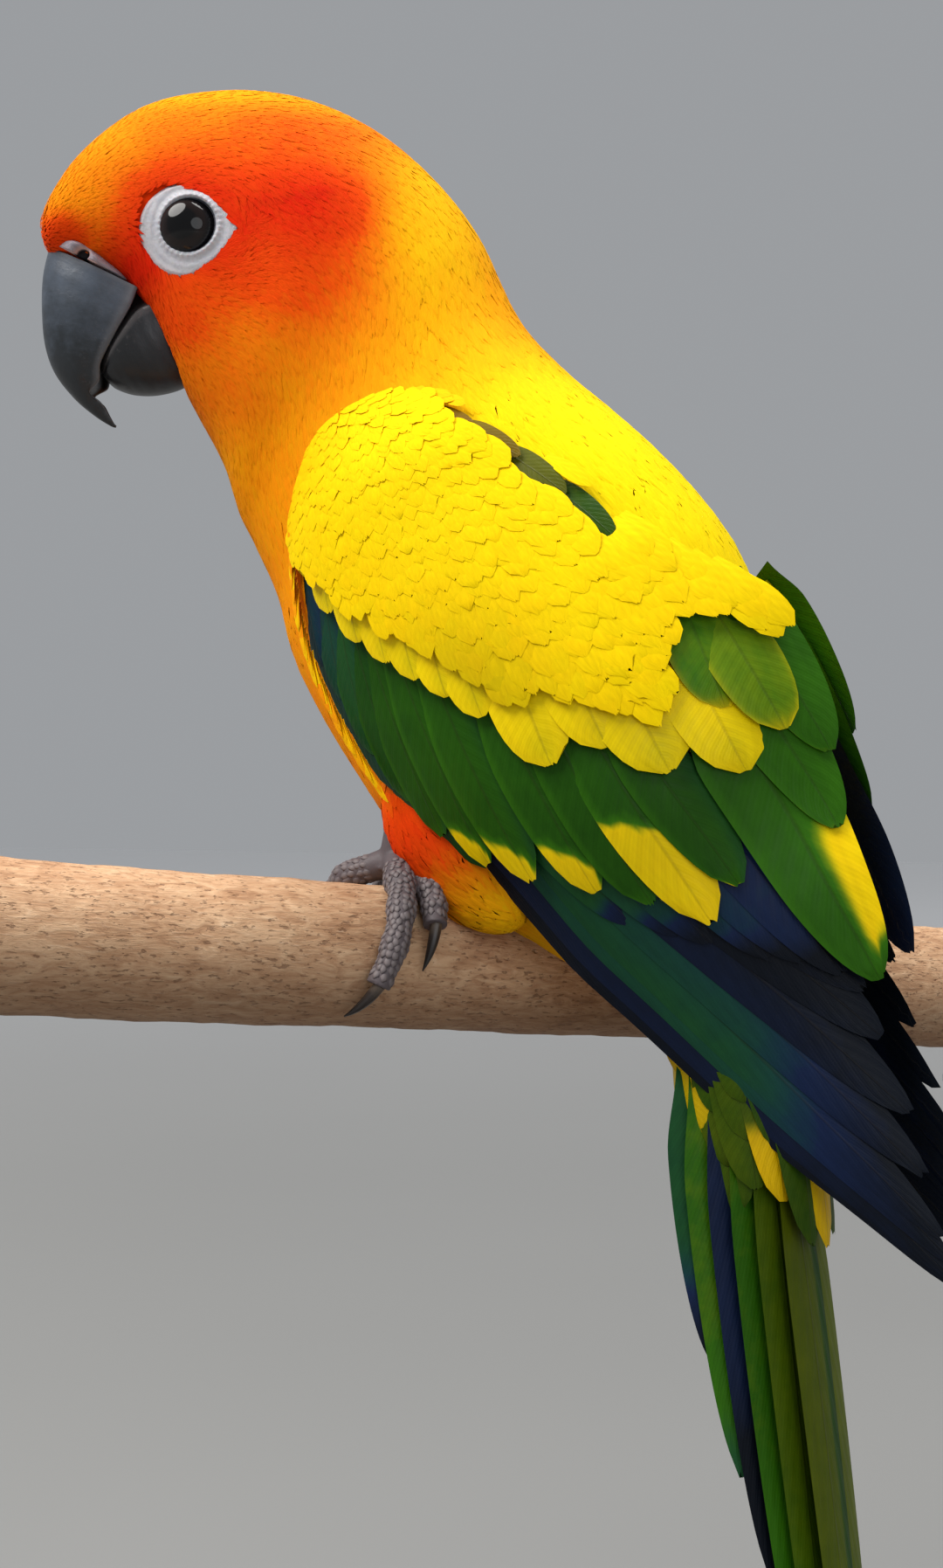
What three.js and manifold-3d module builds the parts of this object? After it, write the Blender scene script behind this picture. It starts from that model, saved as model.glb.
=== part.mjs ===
// Sun conure at life size, perched on a short length of branch that a plain stand holds up.
// Millimetres, +Z up. The bird is drawn in a frame of its own: +X is the way it faces, +Y is its left
// side, +Z is up, and the origin lies on the branch's axis under the belly. The last lines turn that
// frame so that the bird faces -X, and set the stand's underside on the floor at Z = 0.

import * as THREE from 'three';
import { mergeVertices } from 'three/addons/utils/BufferGeometryUtils.js';
import Module from 'manifold-3d';

const wasm = await Module();
wasm.setup();

const DEG = Math.PI / 180;
const GAP = 0.3;                    // clear space between neighbouring pieces
const ROOM = 0.32;                  // how far a neighbour's form is swollen before it is cut away

// The body's own axis runs from the shoulders down and back to the rump.
const SHOULDER = { x: 10, z: 60 };  // the point that the body's stations are measured from
const BODY_TILT = 52 * DEG;         // how steeply the body stands
const NECK_AXIS_X = 12;             // upright axis that the head turns about
const HEAD_TURN = 26;               // degrees that the head looks to its left

// Branch and stand.
const PERCH_RADIUS = 9.5;
const PERCH_ACROSS = 60 * DEG;      // between the way the bird faces and the branch's line
const PERCH_FALL = 5.2 * DEG;       // the branch drops a little towards the bird's right
const PERCH_LEFT = -86;             // the branch's ends, measured along it from the bird
const PERCH_RIGHT = 104;
const PERCH_HEIGHT = 130;           // branch axis under the bird, above the floor
const BASE_LENGTH = 206;
const BASE_WIDTH = 96;
const BASE_THICK = 8;
const BASE_CORNER = 9;
const ROD_RADIUS = 3.2;
const ROD_INSET = 8;                // from the branch's end to the rod's axis

// Legs and feet.
const FOOT_LEFT_ALONG = -15;        // places of the feet, measured along the branch
const FOOT_RIGHT_ALONG = 15.5;
const TOE_RADIUS = 1.9;
const CLAW_LENGTH = 7.5;

// Eyes.
const EYE = { x: 40.2, z: 98.6, side: 13.75, radius: 5.0, depth: 3.7, toeIn: 10 * DEG };
// Bare skin round the eye: half sizes, how far it stands out, how deep its middle lies, how far back.
const EYE_PATCH = { length: 7.3, height: 6.0, rise: 0.45, sunk: 1.6, back: 0.3 };
const EYE_RIM = { radius: 4.15, tube: 0.65, proud: 0.25 };
const EYE_SIDES = 14;

// Materials.
const finish = (color, roughness, metalness = 0) => ({ color, roughness, metalness });
const ORANGE = finish(0xf0641a, 0.85);
const AMBER = finish(0xf59a1c, 0.85);
const YELLOW = finish(0xf2d21c, 0.8);
const GREEN = finish(0x3b8a2b, 0.7);
const OLIVE = finish(0x7d8a1d, 0.7);
const SLATE = finish(0x3c3f45, 0.5);
const PALE_SKIN = finish(0xd8d4d0, 0.7);
const DARK_EYE = finish(0x120c0a, 0.08);
const GREY_SKIN = finish(0x8c7f7c, 0.75);
const CLAW_HORN = finish(0x2c2725, 0.45);
const BARK = finish(0xb98d6c, 0.8);
const DARK_WOOD = finish(0x2b211b, 0.4);
const STEEL = finish(0xb8babd, 0.3, 1);

const PERCH_ROOM = 0.65;            // swelling of the coarser form that cuts neighbours clear of the branch
const PERCH_ROOM_SIDES = 14;

// Curves through stations.

// A smooth curve through rows of numbers, read by their first column.
function through(rows) {
  return (s) => {
    const last = rows.length - 2;
    let i = 0;
    while (i < last && s > rows[i + 1][0]) i += 1;
    const a = rows[i];
    const b = rows[i + 1];
    const before = rows[Math.max(i - 1, 0)];
    const after = rows[Math.min(i + 2, rows.length - 1)];
    const span = b[0] - a[0];
    const t = (s - a[0]) / span;
    return a.slice(1).map((value, j) => {
      const k = j + 1;
      const slopeA = ((b[k] - before[k]) / (b[0] - before[0])) * span;
      const slopeB = ((after[k] - a[k]) / (after[0] - a[0])) * span;
      if (t <= 0) return value + slopeA * t;
      if (t >= 1) return b[k] + slopeB * (t - 1);
      const t2 = t * t;
      const t3 = t2 * t;
      return value * (2 * t3 - 3 * t2 + 1) + slopeA * (t3 - 2 * t2 + t)
        + b[k] * (3 * t2 - 2 * t3) + slopeB * (t3 - t2);
    });
  };
}

const mix = (a, b, t) => a + (b - a) * t;
const vec = (x, y, z) => new THREE.Vector3(x, y, z);

// Closed solids.

// Skins a list of rings, each a closed loop of the same number of points, and closes both ends.
function loft(rings, fanEnds = false) {
  const sides = rings[0].length;
  const points = rings.flat();
  const triangles = [];
  for (let r = 0; r + 1 < rings.length; r += 1) {
    for (let k = 0; k < sides; k += 1) {
      const a = r * sides + k;
      const b = r * sides + ((k + 1) % sides);
      triangles.push(a, b, a + sides, b, b + sides, a + sides);
    }
  }
  for (const [ring, turned] of [[0, true], [rings.length - 1, false]]) {
    if (fanEnds) {
      const first = ring * sides;
      for (let k = 1; k + 1 < sides; k += 1) {
        const b = first + k;
        triangles.push(...(turned ? [b + 1, b, first] : [b, b + 1, first]));
      }
      continue;
    }
    const middle = points.length;
    const centre = vec(0, 0, 0);
    rings[ring].forEach((point) => centre.add(point));
    points.push(centre.multiplyScalar(1 / sides));
    for (let k = 0; k < sides; k += 1) {
      const a = ring * sides + k;
      const b = ring * sides + ((k + 1) % sides);
      triangles.push(...(turned ? [b, a, middle] : [a, b, middle]));
    }
  }
  const geometry = new THREE.BufferGeometry();
  const flat = points.flatMap((point) => [point.x, point.y, point.z]);
  geometry.setAttribute('position', new THREE.Float32BufferAttribute(flat, 3));
  geometry.setIndex(triangles);
  return geometry;
}

function signedVolume(geometry) {
  const place = geometry.getAttribute('position');
  const index = geometry.getIndex();
  const corner = [vec(0, 0, 0), vec(0, 0, 0), vec(0, 0, 0)];
  let sum = 0;
  for (let i = 0; i < index.count; i += 3) {
    corner.forEach((point, k) => point.fromBufferAttribute(place, index.getX(i + k)));
    sum += corner[0].dot(corner[1].cross(corner[2])) / 6;
  }
  return sum;
}

// Turns a closed geometry into a solid that can be joined and cut.
function solid(geometry) {
  const bare = geometry.clone();
  bare.deleteAttribute('normal');
  bare.deleteAttribute('uv');
  const merged = mergeVertices(bare, 1e-4);
  const index = Array.from(merged.getIndex().array);
  if (signedVolume(merged) < 0) {
    for (let i = 0; i < index.length; i += 3) index.splice(i, 3, index[i], index[i + 2], index[i + 1]);
  }
  return new wasm.Manifold(new wasm.Mesh({
    numProp: 3,
    vertProperties: new Float32Array(merged.getAttribute('position').array),
    triVerts: new Uint32Array(index),
  }));
}

// Keeps the largest closed surface of a solid and gives it back as a geometry.
function largest(body) {
  const pieces = body.decompose();
  const outer = pieces.reduce((best, piece) => (piece.volume() > best.volume() ? piece : best));
  const mesh = outer.getMesh();
  const geometry = new THREE.BufferGeometry();
  const flat = new Float32Array(mesh.vertProperties);
  geometry.setAttribute('position', new THREE.BufferAttribute(flat, mesh.numProp));
  geometry.setIndex(Array.from(mesh.triVerts));
  return geometry;
}

const join = (parts) => parts.reduce((sum, part) => sum.add(part));
const cut = (body, ...tools) => tools.reduce((rest, tool) => rest.subtract(tool), body);

// A closed form swept along a few rings that are given by centre, two half sizes and two directions.
function sweep(stations, sides) {
  return loft(stations.map(({ centre, across, up, half, rise }) => {
    const ring = [];
    for (let k = 0; k < sides; k += 1) {
      const angle = (2 * Math.PI * k) / sides;
      ring.push(centre.clone()
        .addScaledVector(across, half * Math.cos(angle))
        .addScaledVector(up, rise * Math.sin(angle)));
    }
    return ring;
  }));
}

// A round tapering limb along a curve, with a radius for each of its stations.
function limb(path, radii, sides) {
  const curve = new THREE.CatmullRomCurve3(path);
  const steps = radii.length - 1;
  return sweep(radii.map((radius, i) => {
    const t = i / steps;
    const along = curve.getTangent(t);
    const across = vec(0, 0, 1).cross(along);
    if (across.length() < 0.2) across.set(0, 1, 0);
    across.normalize();
    return { centre: curve.getPoint(t), across, up: along.clone().cross(across), half: radius, rise: radius };
  }), sides);
}

// The body: head, neck and torso as one flowing form.

// x and z of a point p along the body's axis and q across it, towards the back.
function bodyXZ(p, q) {
  return {
    x: SHOULDER.x - p * Math.cos(BODY_TILT) - q * Math.sin(BODY_TILT),
    z: SHOULDER.z - p * Math.sin(BODY_TILT) + q * Math.cos(BODY_TILT),
  };
}

// Torso stations: p along the axis, q of the breast and of the back, half width.
const TORSO = [
  [-3, -21.5, 29.3, 19.3, 3],
  [5, -24.5, 31, 20.5, 0],
  [14, -26, 32.6, 21, 0],
  [22.5, -26.7, 33.4, 20.2, 0],
  [31, -27, 33.2, 19, 0],
  [41, -26, 30.6, 17.6, 0],
  [50, -23.5, 26.5, 16.2, 0],
  [58, -19.5, 22.5, 14.4, 0],
  [66, -15.8, 18.5, 13.2, 0],
  [73, -12.8, 14.8, 11, 0],
];

// Head and neck stations from the forehead to the shoulders: x and z of the lower (throat) side,
// x and z of the upper (crown) side, half width, and how far the section is turned.
const HEAD = [
  [61.7, 99.8, 62.2, 102.4, 3.4, 26],
  [59.4, 97.6, 60.2, 106.2, 7.0, 26],
  [55.4, 95.6, 56.8, 111.0, 9.5, 26],
  [50.4, 93.0, 51.6, 115.5, 11.5, 26],
  [46.2, 87.4, 46.6, 118.3, 12.8, 26],
  [42.8, 79.6, 40.2, 119.8, 13.9, 26],
  [40.2, 74.6, 32.4, 120.1, 14.7, 26],
  [38.2, 71.0, 24.4, 118.6, 15.4, 26],
  [36.7, 67.8, 16.2, 114.8, 16.0, 26],
];
const NECK = [
  [36.7, 67.8, 16.2, 114.8, 16.0, 26],
  [35.6, 64.2, 8.4, 108.6, 16.5, 23],
  [34.6, 61.0, 1.8, 100.4, 17.2, 17],
  [32.6, 57.0, -3.9, 88.6, 18.2, 9],
  [28.4, 49.4, -10.7, 80.4, 19.3, 3],
];
const BODY_SIDES = 28;
const BODY_SQUARENESS = 2.25;       // 2 is an ellipse, more is fuller at the corners

// A flat section of the body through a front and a back point, swollen by `extra`.
function bodyRing([frontX, frontZ, backX, backZ, halfWidth, turn], extra, shift) {
  const middle = { x: (frontX + backX) / 2, z: (frontZ + backZ) / 2 };
  const reach = Math.hypot(backX - frontX, backZ - frontZ) / 2;
  const toBack = { x: (backX - frontX) / (2 * reach), z: (backZ - frontZ) / (2 * reach) };
  const ring = [];
  for (let k = 0; k < BODY_SIDES; k += 1) {
    const angle = (2 * Math.PI * k) / BODY_SIDES;
    const bulge = (value) => Math.sign(value) * Math.abs(value) ** (2 / BODY_SQUARENESS);
    const back = bulge(Math.cos(angle)) * (reach + extra);
    const side = bulge(Math.sin(angle)) * (halfWidth + extra);
    // `shift` slides the section along the body, square to its own plane
    const x = middle.x + toBack.x * back - toBack.z * shift - NECK_AXIS_X;
    const z = middle.z + toBack.z * back + toBack.x * shift;
    const cos = Math.cos(turn * DEG);
    const sin = Math.sin(turn * DEG);
    ring.push(vec(NECK_AXIS_X + x * cos - side * sin, x * sin + side * cos, z));
  }
  return ring;
}

const torsoRows = TORSO.map(([p, front, back, half, turn]) => {
  const breast = bodyXZ(p, front);
  const spine = bodyXZ(p, back);
  return [breast.x, breast.z, spine.x, spine.z, half, turn];
});
const torsoForm = (extra) => solid(loft(torsoRows.map((row, i) => bodyRing(row, extra, i === 0 ? GAP : 0))));
const headForm = (extra) => solid(loft(HEAD.map((row) => bodyRing(row, extra, 0))));
const neckForm = solid(loft(NECK.map((row, i) => bodyRing(row, 0, i === 0 ? GAP : 0))));

// Head frame: x forward from the neck's axis, y to the head's left, z up.
function headPoint(x, side, z) {
  const turn = HEAD_TURN * DEG;
  const reach = x - NECK_AXIS_X;
  return vec(
    NECK_AXIS_X + reach * Math.cos(turn) - side * Math.sin(turn),
    reach * Math.sin(turn) + side * Math.cos(turn),
    z,
  );
}
function headMatrix(x, side, z) {
  const turned = new THREE.Matrix4().makeRotationZ(HEAD_TURN * DEG);
  const place = headPoint(x, side, z);
  return turned.setPosition(place.x, place.y, place.z);
}

// Bill pieces: sections from the face to the tip, each with the x and z of its front (culmen) edge
// and of its inner edge, and a half width.
const BILL_SIDES = 14;
function billForm(rows, extra = 0) {
  return solid(loft(rows.map(([frontX, frontZ, innerX, innerZ, half]) => {
    const middleX = (frontX + innerX) / 2;
    const middleZ = (frontZ + innerZ) / 2;
    const reach = Math.hypot(innerX - frontX, innerZ - frontZ) / 2;
    const inX = (innerX - frontX) / (2 * reach);
    const inZ = (innerZ - frontZ) / (2 * reach);
    const ring = [];
    for (let k = 0; k < BILL_SIDES; k += 1) {
      const angle = (2 * Math.PI * k) / BILL_SIDES;
      const inward = Math.cos(angle) * (reach + extra);
      ring.push(headPoint(middleX + inX * inward, Math.sin(angle) * (half + extra), middleZ + inZ * inward));
    }
    return ring;
  })));
}
const CERE = [
  [58.5, 104.0, 44.5, 97.0, 6.4],
  [60.6, 101.4, 46.4, 94.4, 7.4],
  [61.2, 98.8, 48.0, 92.4, 7.6],
];
const BILL_UPPER = [
  [61.4, 98.4, 48.2, 92.0, 7.4],
  [62.2, 94.4, 49.2, 89.4, 7.5],
  [62.3, 89.6, 51.0, 86.4, 7.1],
  [61.9, 85.2, 52.9, 83.2, 6.1],
  [60.6, 81.4, 54.4, 80.9, 4.6],
  [58.0, 78.0, 54.7, 78.9, 2.9],
  [55.2, 75.6, 53.8, 77.0, 1.5],
  [53.0, 74.2, 52.6, 74.8, 0.5],
];
const BILL_LOWER = [
  [41.0, 80.6, 45.5, 90.5, 6.4],
  [43.6, 79.2, 48.6, 89.2, 6.8],
  [46.8, 78.5, 51.0, 86.2, 6.6],
  [49.8, 78.6, 52.8, 83.6, 5.6],
  [52.2, 79.4, 53.6, 81.8, 4.0],
];

// Eyes, lids and the bare skin round them.
function eyeParts(side) {
  const surface = EYE.side * side;
  const centre = surface - side * EYE.depth;
  const ball = (radius, detail) => {
    const sphere = new THREE.SphereGeometry(radius, detail, Math.round(detail * 0.7));
    return solid(sphere.applyMatrix4(headMatrix(EYE.x, centre, EYE.z)));
  };
  const patch = new THREE.SphereGeometry(1, 12, 7);
  patch.scale(EYE_PATCH.length, EYE_PATCH.rise + EYE_PATCH.sunk, EYE_PATCH.height);
  patch.rotateZ(-EYE.toeIn * side);
  patch.applyMatrix4(headMatrix(EYE.x - EYE_PATCH.back, surface - side * EYE_PATCH.sunk, EYE.z));
  const rim = new THREE.TorusGeometry(EYE_RIM.radius, EYE_RIM.tube, 5, 14);
  rim.rotateX(90 * DEG);
  rim.rotateZ(-EYE.toeIn * side);
  rim.applyMatrix4(headMatrix(EYE.x, surface + side * EYE_RIM.proud, EYE.z));
  return {
    eye: ball(EYE.radius, EYE_SIDES),
    socket: ball(EYE.radius + ROOM, EYE_SIDES),
    patch: solid(patch),
    rim: solid(rim),
  };
}

const cereWhole = billForm(CERE);
const billUpperWhole = billForm(BILL_UPPER);
const billLowerWhole = billForm(BILL_LOWER);
const eyes = { left: eyeParts(1), right: eyeParts(-1) };

const NOSTRIL = { x: 55.6, z: 96.4, side: 6.2, radius: 0.95 };
const nostrils = [1, -1].map((side) => {
  const pit = new THREE.SphereGeometry(NOSTRIL.radius, 10, 8);
  pit.scale(1.2, 2, 1);
  return solid(pit.applyMatrix4(headMatrix(NOSTRIL.x, NOSTRIL.side * side, NOSTRIL.z)));
});

const head = cut(
  join([headForm(0), eyes.left.patch, eyes.left.rim, eyes.right.patch, eyes.right.rim]),
  billForm(CERE, ROOM), billForm(BILL_UPPER, ROOM), billForm(BILL_LOWER, ROOM),
  eyes.left.socket, eyes.right.socket,
);
const cere = cut(cereWhole, ...nostrils, billForm(BILL_UPPER, ROOM));
const billLower = billLowerWhole;
const billUpper = cut(billUpperWhole, billForm(BILL_LOWER, ROOM));

// Branch.
const perchLine = vec(
  -Math.cos(PERCH_ACROSS) * Math.cos(PERCH_FALL),
  -Math.sin(PERCH_ACROSS) * Math.cos(PERCH_FALL),
  -Math.sin(PERCH_FALL),
);
const perchFront = vec(Math.sin(PERCH_ACROSS), -Math.cos(PERCH_ACROSS), 0);
const perchUp = perchLine.clone().cross(perchFront).normalize();
const perchPoint = (along, radius, angle) => perchLine.clone().multiplyScalar(along)
  .addScaledVector(perchFront, radius * Math.cos(angle))
  .addScaledVector(perchUp, radius * Math.sin(angle));
function perchForm(extra, sides) {
  const stations = 4;
  const rings = [];
  for (let i = 0; i < stations; i += 1) {
    const along = mix(PERCH_LEFT, PERCH_RIGHT, i / (stations - 1));
    const ring = [];
    for (let k = 0; k < sides; k += 1) {
      ring.push(perchPoint(along, PERCH_RADIUS + extra, (2 * Math.PI * k) / sides));
    }
    rings.push(ring);
  }
  return solid(loft(rings));
}

// Feathers: a vane is a thin plate through points on the surface it lies on; flight feathers have a
// raised midline. `tilt` lifts one edge so that each vane overlaps the next.
const MIDLINE_RISE = 1.8;           // height of the midline over half the vane's thickness
const ROOT_SHARE = 0.4;             // share of a vane's length over which it rises from its root
function vane(points, normals, halves, thickness, tilt, ridged) {
  const last = points.length - 1;
  return loft(points.map((point, i) => {
    const along = points[Math.min(i + 1, last)].clone().sub(points[Math.max(i - 1, 0)]);
    const side = along.cross(normals[i]).normalize();
    const corner = (across, lift) => point.clone()
      .addScaledVector(side, across * halves[i])
      .addScaledVector(normals[i], lift + tilt * across * halves[i]);
    const t = thickness / 2;
    const ridge = ridged ? [corner(0, t * MIDLINE_RISE)] : [];
    return [corner(-1, -t), corner(-1, t), ...ridge, corner(1, t), corner(1, -t)];
  }), true);
}
const POINTED = { at: [0, 0.35, 0.78, 1], width: [0.7, 1, 0.86, 0.16], ridged: true };
const LONG = { at: [0, 0.4, 0.8, 1], width: [0.7, 1, 0.86, 0.22], ridged: false };
const ROUNDED = { at: [0, 0.62, 1], width: [0.75, 1, 0.42], ridged: false };

// Wings: an arched surface over the body's side, from the bend to the tip.
// p along the body, q and y of the leading edge, q and y of the back edge, and the arch between them.
const WING = [
  [-15, -1, 16, 6, 16.5, 0.5],
  [-9, -5.5, 17, 14, 17.5, 3],
  [0, -10.2, 17.5, 20.5, 18.5, 6],
  [10, -14, 18, 24, 18, 7],
  [20, -16.8, 18.5, 26, 17.4, 7.8],
  [30, -18, 18.5, 30, 14.2, 9.3],
  [42, -16.5, 18.5, 33.5, 9, 10.5],
  [55, -14, 17.5, 30, 6.6, 9],
  [66, -12.2, 16, 26, 5, 6.2],
  [76, -11, 14, 23.6, 4.5, 4.5],
  [88, -9.6, 11.5, 17, 4.5, 2.5],
  [100, -6.5, 9.5, 12, 4.5, 1.5],
  [112, -4, 7.5, 8.6, 4.5, 1],
  [125, -3, 6, 5, 5, 0.5],
];
const wingRow = through(WING);
function wingPoint(p, q, offset = 0) {
  const at = (pp, qq) => {
    const [leadQ, leadY, backQ, backY, arch] = wingRow(pp);
    const b = (qq - leadQ) / (backQ - leadQ);
    const { x, z } = bodyXZ(pp, qq);
    return vec(x, mix(leadY, backY, b) + arch * 4 * b * (1 - b), z);
  };
  const point = at(p, q);
  const step = 0.5;
  const normal = at(p, q + step).sub(point).cross(at(p + step, q).sub(point)).normalize();
  if (normal.y < 0) normal.negate();
  return { point: point.addScaledVector(normal, offset), normal };
}

// Tiers of feathers, from the innermost layer outwards: how far each lies below the wing's outer face,
// and where its roots and tips lie, from the leading edge (place 0) to the back (place 1).
// Each curve's rows are: place, p, q.
const WING_TIERS = [
  // primaries
  { count: 6, width: [10, 10], depth: [5.1, 3.7], shape: POINTED, tilt: 0.15,
    roots: [[0, 40, -11], [0.5, 45, -3.5], [1, 50, 6]],
    tips: [[0, 124.5, -0.4], [0.3, 120, 2.8], [0.6, 108, 7.4], [1, 87, 15]] },
  // secondaries
  { count: 2, width: [12, 12], depth: [2.9, 2.5], shape: LONG, tilt: 0.1,
    roots: [[0, 44, -2], [1, 50, 14]],
    tips: [[0, 69, 0], [0.5, 77, 7], [1, 84, 13.5]] },
  // primary coverts
  { count: 3, width: [7, 8], depth: [2.8, 2.6], shape: LONG, tilt: 0.13,
    roots: [[0, 2, -7.5], [1, 22, -12]],
    tips: [[0, 24, -15.6], [1, 46, -13.6]] },
  // greater coverts
  { count: 6, width: [10.5, 11.5], depth: [1.9, 1.6], shape: LONG, tilt: 0.15,
    roots: [[0, 8, -9], [0.35, 28, -1.5], [0.75, 44, 6], [1, 46, 15]],
    tips: [[0, 31, -14.6], [0.15, 40, -12.6], [0.35, 51.6, -7.2], [0.55, 60, -0.5], [0.75, 68, 4.8],
      [1, 67, 15]] },
  // tertials
  { count: 3, width: [12, 10], depth: [1.3, 0.9], shape: LONG, tilt: 0.13,
    roots: [[0, 46, 18], [0.5, 42, 22], [1, 36, 27]],
    tips: [[0, 88, 17], [0.5, 74, 22.4], [1, 60, 27]] },
  // median coverts
  { count: 6, width: [11.5, 12.5], depth: [0.8, 0.8], shape: ROUNDED, tilt: 0.15,
    roots: [[0, -9, -4.5], [0.15, 0, -5.5], [0.4, 14, -1], [0.6, 27, 5], [0.85, 39, 14], [1, 44, 21]],
    tips: [[0, 2, -9.4], [0.15, 14.5, -9], [0.4, 29, -3.4], [0.6, 41.6, 2], [0.85, 54.2, 14],
      [1, 58, 21.4]] },
  // lesser coverts
  { count: 5, width: [12, 12.5], depth: [-0.1, -0.1], shape: ROUNDED, tilt: 0.15,
    roots: [[0, -12, -0.5], [0.3, -3, 0], [0.6, 12, 6], [0.8, 23, 13], [1, 31, 20]],
    tips: [[0, -4, -5.5], [0.3, 11, -3], [0.6, 26, 5], [0.8, 37, 13], [1, 45, 20]] },
  // scapulars
  { count: 4, width: [11, 11.5], depth: [-0.9, -0.9], shape: ROUNDED, tilt: 0.12,
    roots: [[0, 2, 18], [0.4, 16, 22], [0.7, 27, 26], [1, 35, 29.5]],
    tips: [[0, 18, 20.5], [0.4, 33, 25.5], [0.7, 44, 29.5], [1, 52, 30.5]] },
];
const FEATHER_THICK = 0.55;

// The solid part of the wing lies under the feathers, deeper where more layers cover it.
const CORE_SKIN = { shoulder: 0.9, hand: 3.3, from: 2, to: 46 };
const coreDepth = (p) => mix(CORE_SKIN.shoulder, CORE_SKIN.hand,
  THREE.MathUtils.smoothstep(p, CORE_SKIN.from, CORE_SKIN.to));
const ROOT_SINK = 1.0;              // how far a feather's root reaches into the core

function wingFeathers(tier) {
  const rootAt = through(tier.roots);
  const tipAt = through(tier.tips);
  const feathers = [];
  for (let i = 0; i < tier.count; i += 1) {
    const place = i / (tier.count - 1);
    const [rootP, rootQ] = rootAt(place);
    const [tipP, tipQ] = tipAt(place);
    const half = mix(tier.width[0], tier.width[1], place) / 2;
    const depth = mix(tier.depth[0], tier.depth[1], place);
    const rootDepth = coreDepth(rootP) + ROOT_SINK;
    const spots = tier.shape.at.map((t) => {
      const sink = (rootDepth - depth) * Math.max(0, 1 - t / ROOT_SHARE);
      return wingPoint(mix(rootP, tipP, t), mix(rootQ, tipQ, t), -depth - sink);
    });
    feathers.push(solid(vane(
      spots.map((spot) => spot.point),
      spots.map((spot) => spot.normal),
      tier.shape.width.map((w) => w * half),
      FEATHER_THICK,
      tier.tilt,
      tier.shape.ridged,
    )));
  }
  return feathers;
}

const WING_CORE_END = 62;
const WING_INNER_Y = 4;             // no part of the core comes nearer to the middle than this
function wingSlab(startP, endP, steps, margin, outerAt, innerAt) {
  const across = 5;
  const rings = [];
  for (let i = 0; i <= steps; i += 1) {
    const p = mix(startP, endP, i / steps);
    const [leadQ, , backQ] = wingRow(p);
    const outer = [];
    const inner = [];
    for (let k = 0; k < across; k += 1) {
      const q = mix(leadQ + margin, backQ - margin, k / (across - 1));
      outer.push(outerAt(p, q));
      inner.unshift(innerAt(p, q));
    }
    rings.push([...outer, ...inner]);
  }
  return solid(loft(rings));
}
const FREE_FROM = 44;               // past this the wing hangs clear of the body
const FREE_BLEND = 5;
const FREE_THICK = 3.0;
const WING_DEEP = 7;                // thickness of the core where it lies on the torso, before cutting
function wingInner(p, q, extra) {
  const outer = wingPoint(p, q, -coreDepth(p)).point;
  const thin = THREE.MathUtils.smoothstep(p, FREE_FROM - FREE_BLEND, FREE_FROM + FREE_BLEND);
  const deep = outer.clone().setY(Math.max(WING_INNER_Y, outer.y - WING_DEEP));
  const inner = deep.lerp(wingPoint(p, q, -coreDepth(p) - FREE_THICK).point, thin);
  return inner.setY(inner.y - extra);
}
const CORE_STEPS = 7;
const CORE_INSET = 0.6;             // the core stays inside the wing's edges by this much
const wingCore = wingSlab(WING[0][0], WING_CORE_END, CORE_STEPS, CORE_INSET,
  (p, q) => wingPoint(p, q, -coreDepth(p)).point,
  (p, q) => wingInner(p, q, 0));
// Everything outside the wing's inner face, to be cut from what lies against it.
const WING_ROOM = { start: -12, end: 116, steps: 12, beyondEdge: 2.5, outward: 12, inward: 0.9 };
const wingRoomLeft = wingSlab(WING_ROOM.start, WING_ROOM.end, WING_ROOM.steps, -WING_ROOM.beyondEdge,
  (p, q) => {
    const spot = wingPoint(p, q).point;
    return spot.setY(spot.y + WING_ROOM.outward);
  },
  (p, q) => wingInner(p, q, WING_ROOM.inward));

const RIGHT_WING_LIFT = 2.2 * DEG;  // the far wing is carried a little higher
const mirrored = (body) => body.mirror([0, 1, 0]);
function liftedRight(body) {
  const turn = new THREE.Matrix4().makeRotationY(RIGHT_WING_LIFT);
  const to = new THREE.Matrix4().makeTranslation(SHOULDER.x, 0, SHOULDER.z);
  const back = new THREE.Matrix4().makeTranslation(-SHOULDER.x, 0, -SHOULDER.z);
  return mirrored(body).transform(to.multiply(turn).multiply(back).toArray());
}

// Tail: twelve graded feathers in an arch, long ones in the middle, over a short fleshy root.
const TAIL_TOP = vec(-43.4, 0, 5);
const TAIL_FALL = 84.3 * DEG;
const TAIL_ROLL = 9 * DEG;
const TAIL_FEATHER = { width: 8.6, thickness: 0.6, start: 15, tilt: 0.06, middleLift: 0.9, middleLean: 10 };
// For each feather from the middle outwards: length, then left and forward offsets at root and tip,
// and how far its face is turned.
const TAIL_ROWS = [
  [119, 1.6, 3.4, 2.4, 0.4, 6],
  [106, 3.6, 4.4, 4.6, 2.4, 16],
  [93, 5.0, 6.0, 6.4, 4.4, 26],
  [80, 5.8, 7.9, 8.0, 6.4, 36],
  [67, 6.0, 10.0, 9.4, 8.4, 46],
  [54, 5.4, 12.0, 10.4, 10.2, 55],
];
const tailDown = vec(-Math.cos(TAIL_FALL), 0, -Math.sin(TAIL_FALL));
const tailBackFlat = vec(-Math.sin(TAIL_FALL), 0, Math.cos(TAIL_FALL));
const birdLeft = vec(0, 1, 0);
const tailLeft = birdLeft.clone().multiplyScalar(Math.cos(TAIL_ROLL))
  .addScaledVector(tailBackFlat, -Math.sin(TAIL_ROLL));
const tailBack = tailBackFlat.clone().multiplyScalar(Math.cos(TAIL_ROLL))
  .addScaledVector(birdLeft, Math.sin(TAIL_ROLL));
const tailPoint = (down, left, forward) => TAIL_TOP.clone()
  .addScaledVector(tailDown, down)
  .addScaledVector(tailLeft, left)
  .addScaledVector(tailBack, -forward);

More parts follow.
